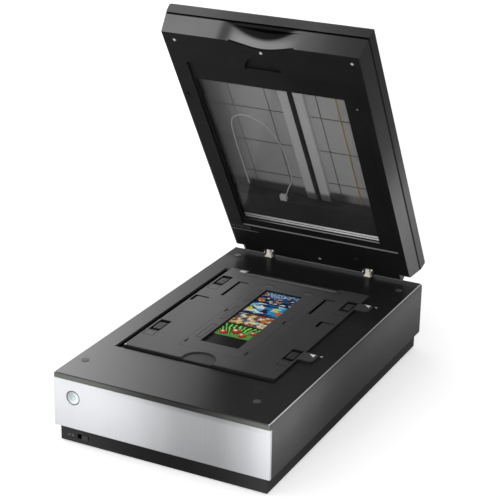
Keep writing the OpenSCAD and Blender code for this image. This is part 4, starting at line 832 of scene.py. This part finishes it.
finishOf = {
    "case": ["upper_case"],
    "trim": ["front_trim"],
    "silver": ["front_panel"],
    "tray": ["bottom_tray", "hinge_sockets", "platen_frame"],
    "inner": ["lid_inner_panel"],
    "shell": ["lid_lower_shell", "lid_outer_cover"],
    "holder": ["holder_frame", "film_cover"],
    "adjuster": ["adjuster_front_left", "adjuster_rear_left", "adjuster_front_right", "adjuster_rear_right",
                 "transport_lock"],
    "darkPlastic": ["carriage_frame", "light_carriage", "board_parts", "power_inlet", "lid_port"],
    "rubber": ["rubber_feet", "glass_gasket", "drive_belt", "light_belt"],
    "bumper": ["lid_bumpers"],
    "glass": ["platen_glass"],
    "lidGlass": ["lid_window_glass"],
    "sheet": ["film_insert"],
    "film": ["film_strip"],
    "blackSteel": ["hinge_pins", "hinge_brackets"],
    "lidScrew": ["lid_screws"],
    "steel": ["guide_rod", "support_rail", "case_screws", "drive_motor", "light_motor", "usb_port"],
    "aluminium": ["lens_unit"],
    "rail": ["light_rail"],
    "wire": ["guide_wire"],
    "brass": ["drive_pulley", "light_drive_pulley"],
    "ivory": ["hinge_post_left", "hinge_post_right", "idler_pulley", "light_idler_pulley"],
    "plate": ["lid_back_plate"],
    "lampWhite": ["lamp_bars"],
    "bar": ["light_bars"],
    "mirror": ["scan_mirrors"],
    "board": ["switch_board", "main_board", "sensor_board"],
    "button": ["power_button"],
    "ring": ["power_ring"],
    "lead": ["lamp_cable", "cable_plug", "carriage_ribbon"],
}
for finish, names in finishOf.items():
    for name in names:
        mesh = nodes[name].data
        mesh.materials.clear()
        mesh.materials.append(finishes[finish])
print("finishes given to", sum(len(names) for names in finishOf.values()), "nodes")


def keep(name, mesh, finish, body):
    # makes the mesh an object that rides on a body
    mesh.materials.clear()
    mesh.materials.append(finishes[finish])
    made = bpy.data.objects.new(name, mesh)
    bpy.context.scene.collection.objects.link(made)
    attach(made, body)
    return made


def meshOf(name, shape, smooth=False):
    # makes the bmesh a mesh with its faces outwards
    bmesh.ops.recalc_face_normals(shape, faces=shape.faces)
    mesh = bpy.data.meshes.new(name)
    shape.to_mesh(mesh)
    shape.free()
    if smooth:
        mesh.shade_smooth()
    return mesh


def fromFront(x, y, z):
    return Vector((x * mm, y * mm + frontY, z * mm))


def raisePlate(shape, face, lift):
    # pulls a flat face out into a low plate
    grown = bmesh.ops.extrude_face_region(shape, geom=[face])
    moved = [part for part in grown["geom"] if isinstance(part, bmesh.types.BMVert)]
    bmesh.ops.translate(shape, verts=moved, vec=(0, 0, lift * mm))


marks = {
    "lift": 0.06, "clear": 0.02, "caseTopZ": 100.0, "holderTopZ": 103.5, "pitch": 184.0,
    "tabArrow": [(113.9, 379.4), (122.6, 379.6), (122.6, 371.6)],
    "caseArrow": [(125.9, 385.2), (129.9, 387.2), (129.9, 383.6)],
    "patches": [(-91.5, 406.6, 9.6, 7.6), (-111.6, 106.4, 2.4, 2.4)],
}


def makeMarks(look):
    # triangles that show where holders line up, and two small light patches on the holder
    for group, z, body, slot in (("caseArrow", look["caseTopZ"], "base", "case_dark"),
                                 ("tabArrow", look["holderTopZ"], "holder", "holder_grey")):
        shape = bmesh.new()
        for forward in (0.0, look["pitch"]):
            corners = [fromFront(x, y - forward, z + look["clear"]) for x, y in look[group]]
            shape.faces.new([shape.verts.new(corner) for corner in corners])
        bmesh.ops.recalc_face_normals(shape, faces=shape.faces)
        for face in list(shape.faces):
            raisePlate(shape, face, look["lift"])
        keep(group + "s", meshOf(group + "s", shape), "print", body)
    shape = bmesh.new()
    for x, y, wide, deep in look["patches"]:
        patch = bmesh.ops.create_grid(shape, x_segments=1, y_segments=1, size=0.5)["verts"]
        bmesh.ops.scale(shape, verts=patch, vec=(wide * mm, deep * mm, 1))
        bmesh.ops.translate(shape, verts=patch, vec=fromFront(x, y, look["holderTopZ"] + look["clear"]))
    for face in list(shape.faces):
        raisePlate(shape, face, look["lift"])
    keep("holderPatches", meshOf("holderPatches", shape), "print", "holder")


makeMarks(marks)

buttonCap = {
    "x": -125.5, "z": 68.0, "y": 0.3, "radius": 8.5, "sides": 72,
    "dish": [(0.35, 0.14), (1.1, 0.08), (1.2, -0.04), (1.12, -0.10), (1.2, -0.03)],  # inset, depth
    "symbol": 3.1, "wire": 0.28, "wireSides": 8, "gap": 28.0, "turn": 304.0, "steps": 40, "lift": 0.08,
    "bar": (0.56, 3.0, 0.28), "barUp": 2.4, "barLift": 0.05,
}


def makeButton(look):
    # shallow dished cap, with a plain open ring and bar on it
    middle = fromFront(look["x"], look["y"], look["z"])
    upright = Matrix.Translation(middle) @ Matrix.Rotation(math.pi / 2, 4, "X")
    shape = bmesh.new()
    bmesh.ops.create_circle(shape, cap_ends=True, segments=look["sides"], radius=look["radius"] * mm)
    face = shape.faces[:][0]
    for inward, depth in look["dish"]:
        bmesh.ops.inset_region(shape, faces=[face], thickness=inward * mm, depth=depth * mm)
    bmesh.ops.transform(shape, matrix=upright, verts=shape.verts)
    keep("buttonCap", meshOf("buttonCap", shape, smooth=True), "button", "button")

    shape = bmesh.new()
    wire = bmesh.ops.create_circle(shape, segments=look["wireSides"], radius=look["wire"] * mm)["verts"]
    bmesh.ops.rotate(shape, verts=wire, matrix=Matrix.Rotation(math.pi / 2, 3, "Y"))
    bmesh.ops.translate(shape, verts=wire, vec=(0, look["symbol"] * mm, 0))
    bmesh.ops.rotate(shape, verts=wire, matrix=Matrix.Rotation(math.radians(look["gap"]), 3, "Z"))
    bmesh.ops.spin(shape, geom=shape.edges[:], cent=(0, 0, 0), axis=(0, 0, 1), steps=look["steps"],
                   angle=math.radians(look["turn"]))
    bmesh.ops.holes_fill(shape, edges=shape.edges[:])
    bar = bmesh.ops.create_cube(shape, size=1.0)["verts"]
    bmesh.ops.scale(shape, verts=bar, vec=Vector(look["bar"]) * mm)
    bmesh.ops.translate(shape, verts=bar, vec=(0, look["barUp"] * mm, look["barLift"] * mm))
    bmesh.ops.translate(shape, verts=shape.verts, vec=(0, 0, look["lift"] * mm))
    bmesh.ops.transform(shape, matrix=upright, verts=shape.verts)
    keep("buttonSymbol", meshOf("buttonSymbol", shape, smooth=True), "mint", "button")


makeButton(buttonCap)

lockMark = {
    "x": -133.5, "z": 11.6, "y": 5.4, "gap": 5.6, "open": 0.55,
    "block": (3.1, 0.35, 1.872), "blockDown": 0.8, "bow": 1.0, "bowUp": 0.2, "steps": 12,
    "wire": 0.24, "wireSides": 6,
}


def makeLockMark(look):
    # two small raised padlock outlines beside the slider, one shut and one open
    shape = bmesh.new()
    for turn, side in ((0.0, -look["gap"] / 2), (look["open"], look["gap"] / 2)):
        block = bmesh.ops.create_cube(shape, size=1.0)["verts"]
        bmesh.ops.scale(shape, verts=block, vec=Vector(look["block"]) * mm)
        bmesh.ops.translate(shape, verts=block, vec=(side * mm, 0, -look["blockDown"] * mm))
        earlier = set(shape.verts)
        wire = bmesh.ops.create_circle(shape, segments=look["wireSides"], radius=look["wire"] * mm)["verts"]
        bmesh.ops.translate(shape, verts=wire, vec=(look["bow"] * mm, 0, 0))
        edges = list({edge for vert in wire for edge in vert.link_edges})
        bmesh.ops.spin(shape, geom=edges, cent=(0, 0, 0), axis=(0, -1, 0), angle=math.pi,
                       steps=look["steps"])
        bow = [vert for vert in shape.verts if vert not in earlier]
        bmesh.ops.rotate(shape, verts=bow, cent=(-look["bow"] * mm, 0, 0),
                         matrix=Matrix.Rotation(-turn, 3, "Y"))
        bmesh.ops.translate(shape, verts=bow, vec=(side * mm, 0, look["bowUp"] * mm))
    bmesh.ops.translate(shape, verts=shape.verts, vec=fromFront(look["x"], look["y"], look["z"]))
    keep("lockMark", meshOf("lockMark", shape), "greyPrint", "base")


makeLockMark(lockMark)

lampLead = {"radius": 0.8, "height": 28.9, "fineness": 6, "roundness": 4, "points": [
    (-104, 116), (-104, 150), (-103.5, 185), (-103, 220), (-101, 243), (-96, 255), (-87, 262), (-76, 264),
    (-65, 262), (-54, 256), (-44, 246), (-36.5, 231), (-31.5, 215), (-29, 200), (-27, 183), (-26.5, 165),
    (-28, 148), (-31, 134)]}


def makeLead(look):
    # the white lead along the lid's back plate, as one smooth tube
    curve = bpy.data.curves.new("leadCurve", "CURVE")
    curve.dimensions, curve.resolution_u = "3D", look["fineness"]
    curve.bevel_depth, curve.bevel_resolution = look["radius"] * mm, look["roundness"]
    curve.use_fill_caps = True
    line = curve.splines.new("NURBS")
    line.points.add(len(look["points"]) - 1)
    line.use_endpoint_u, line.order_u = True, 3
    for point, (x, v) in zip(line.points, look["points"]):
        point.co = (*(lidFrame @ Vector((x * mm, -v * mm, look["height"] * mm))), 1.0)
    draft = bpy.data.objects.new("leadDraft", curve)
    bpy.context.scene.collection.objects.link(draft)
    bpy.context.view_layer.update()
    mesh = bpy.data.meshes.new_from_object(draft)
    bpy.data.objects.remove(draft)
    mesh.shade_smooth()
    made = keep("lampLead", mesh, "lead", "lid")
    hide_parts("lamp_cable")


makeLead(lampLead)
print("added pieces made")

studio = {"floor": grey(0.97), "floorTint": grey(0.96), "floorShown": grey(0.46), "floorSize": 20.0,
          "floorSpeck": 3.0, "floorRough": 0.85, "floorGloss": 0.2, "sky": grey(1.0),
          "skyForLight": 0.475, "skyShown": 1.0}


def makeFloor(look):
    # a white floor that keeps the shadow, lifted to the background's white where it is seen or mirrored
    shape = bmesh.new()
    bmesh.ops.create_grid(shape, x_segments=1, y_segments=1, size=look["floorSize"])
    mesh = bpy.data.meshes.new("floor")
    shape.to_mesh(mesh)
    shape.free()
    paint = newPaint("floorFinish")
    speck = paint.noise(paint.place(), look["floorSpeck"])
    paint.give(Base_Color=paint.mix(speck, look["floor"], look["floorTint"]),
               Roughness=look["floorRough"], Specular_IOR_Level=look["floorGloss"],
               Emission_Color=paint.shade(seenRay(paint), look["floorShown"]), Emission_Strength=1.0)
    mesh.materials.append(paint.owner)
    floor = bpy.data.objects.new("floor", mesh)
    bpy.context.scene.collection.objects.link(floor)


def makeSky(look):
    # even light from all round, shown white to the camera, to mirrors and through glass
    world = bpy.data.worlds.new("studioWorld")
    bpy.context.scene.world = world
    paint = Paint(world, "Background")
    strength = paint.node("ShaderNodeMapRange",
                          inputs={0: seenRay(paint), 3: look["skyForLight"], 4: look["skyShown"]})
    paint.give(Color=look["sky"], Strength=strength)


makeFloor(studio)
makeSky(studio)

lamps = {
    "keyLamp": {"place": (-1.3, -1.7, 2.3), "aim": (0, 0, 0.15), "size": 2.0, "power": 13.0},
    "leftLamp": {"place": (-2.2, 0.2, 1.2), "aim": (0, 0, 0.2), "size": 1.6, "power": 4.0},
    "rightLamp": {"place": (2.2, -0.6, 1.4), "aim": (0, 0, 0.2), "size": 1.6, "power": 5.0},
    "glowLamp": {"place": (-2.3, 2.0, 1.65), "aim": (-0.1, -0.1, 0.1), "size": 1.7, "power": 9.5},
    "lidLamp": {"place": (0.2, -2.6, 0.45), "aim": (0, 0.15, 0.32), "size": 1.2, "power": 30.0},
}


def makeLamp(name, look):
    data = bpy.data.lights.new(name, "AREA")
    data.shape, data.size, data.energy = "DISK", look["size"], look["power"]
    made = bpy.data.objects.new(name, data)
    made.location = look["place"]
    made.rotation_euler = (Vector(look["aim"]) - Vector(look["place"])).to_track_quat("-Z", "Y").to_euler()
    bpy.context.scene.collection.objects.link(made)


for name, look in lamps.items():
    makeLamp(name, look)
bpy.context.scene.view_settings.view_transform = "Standard"
print("studio made")
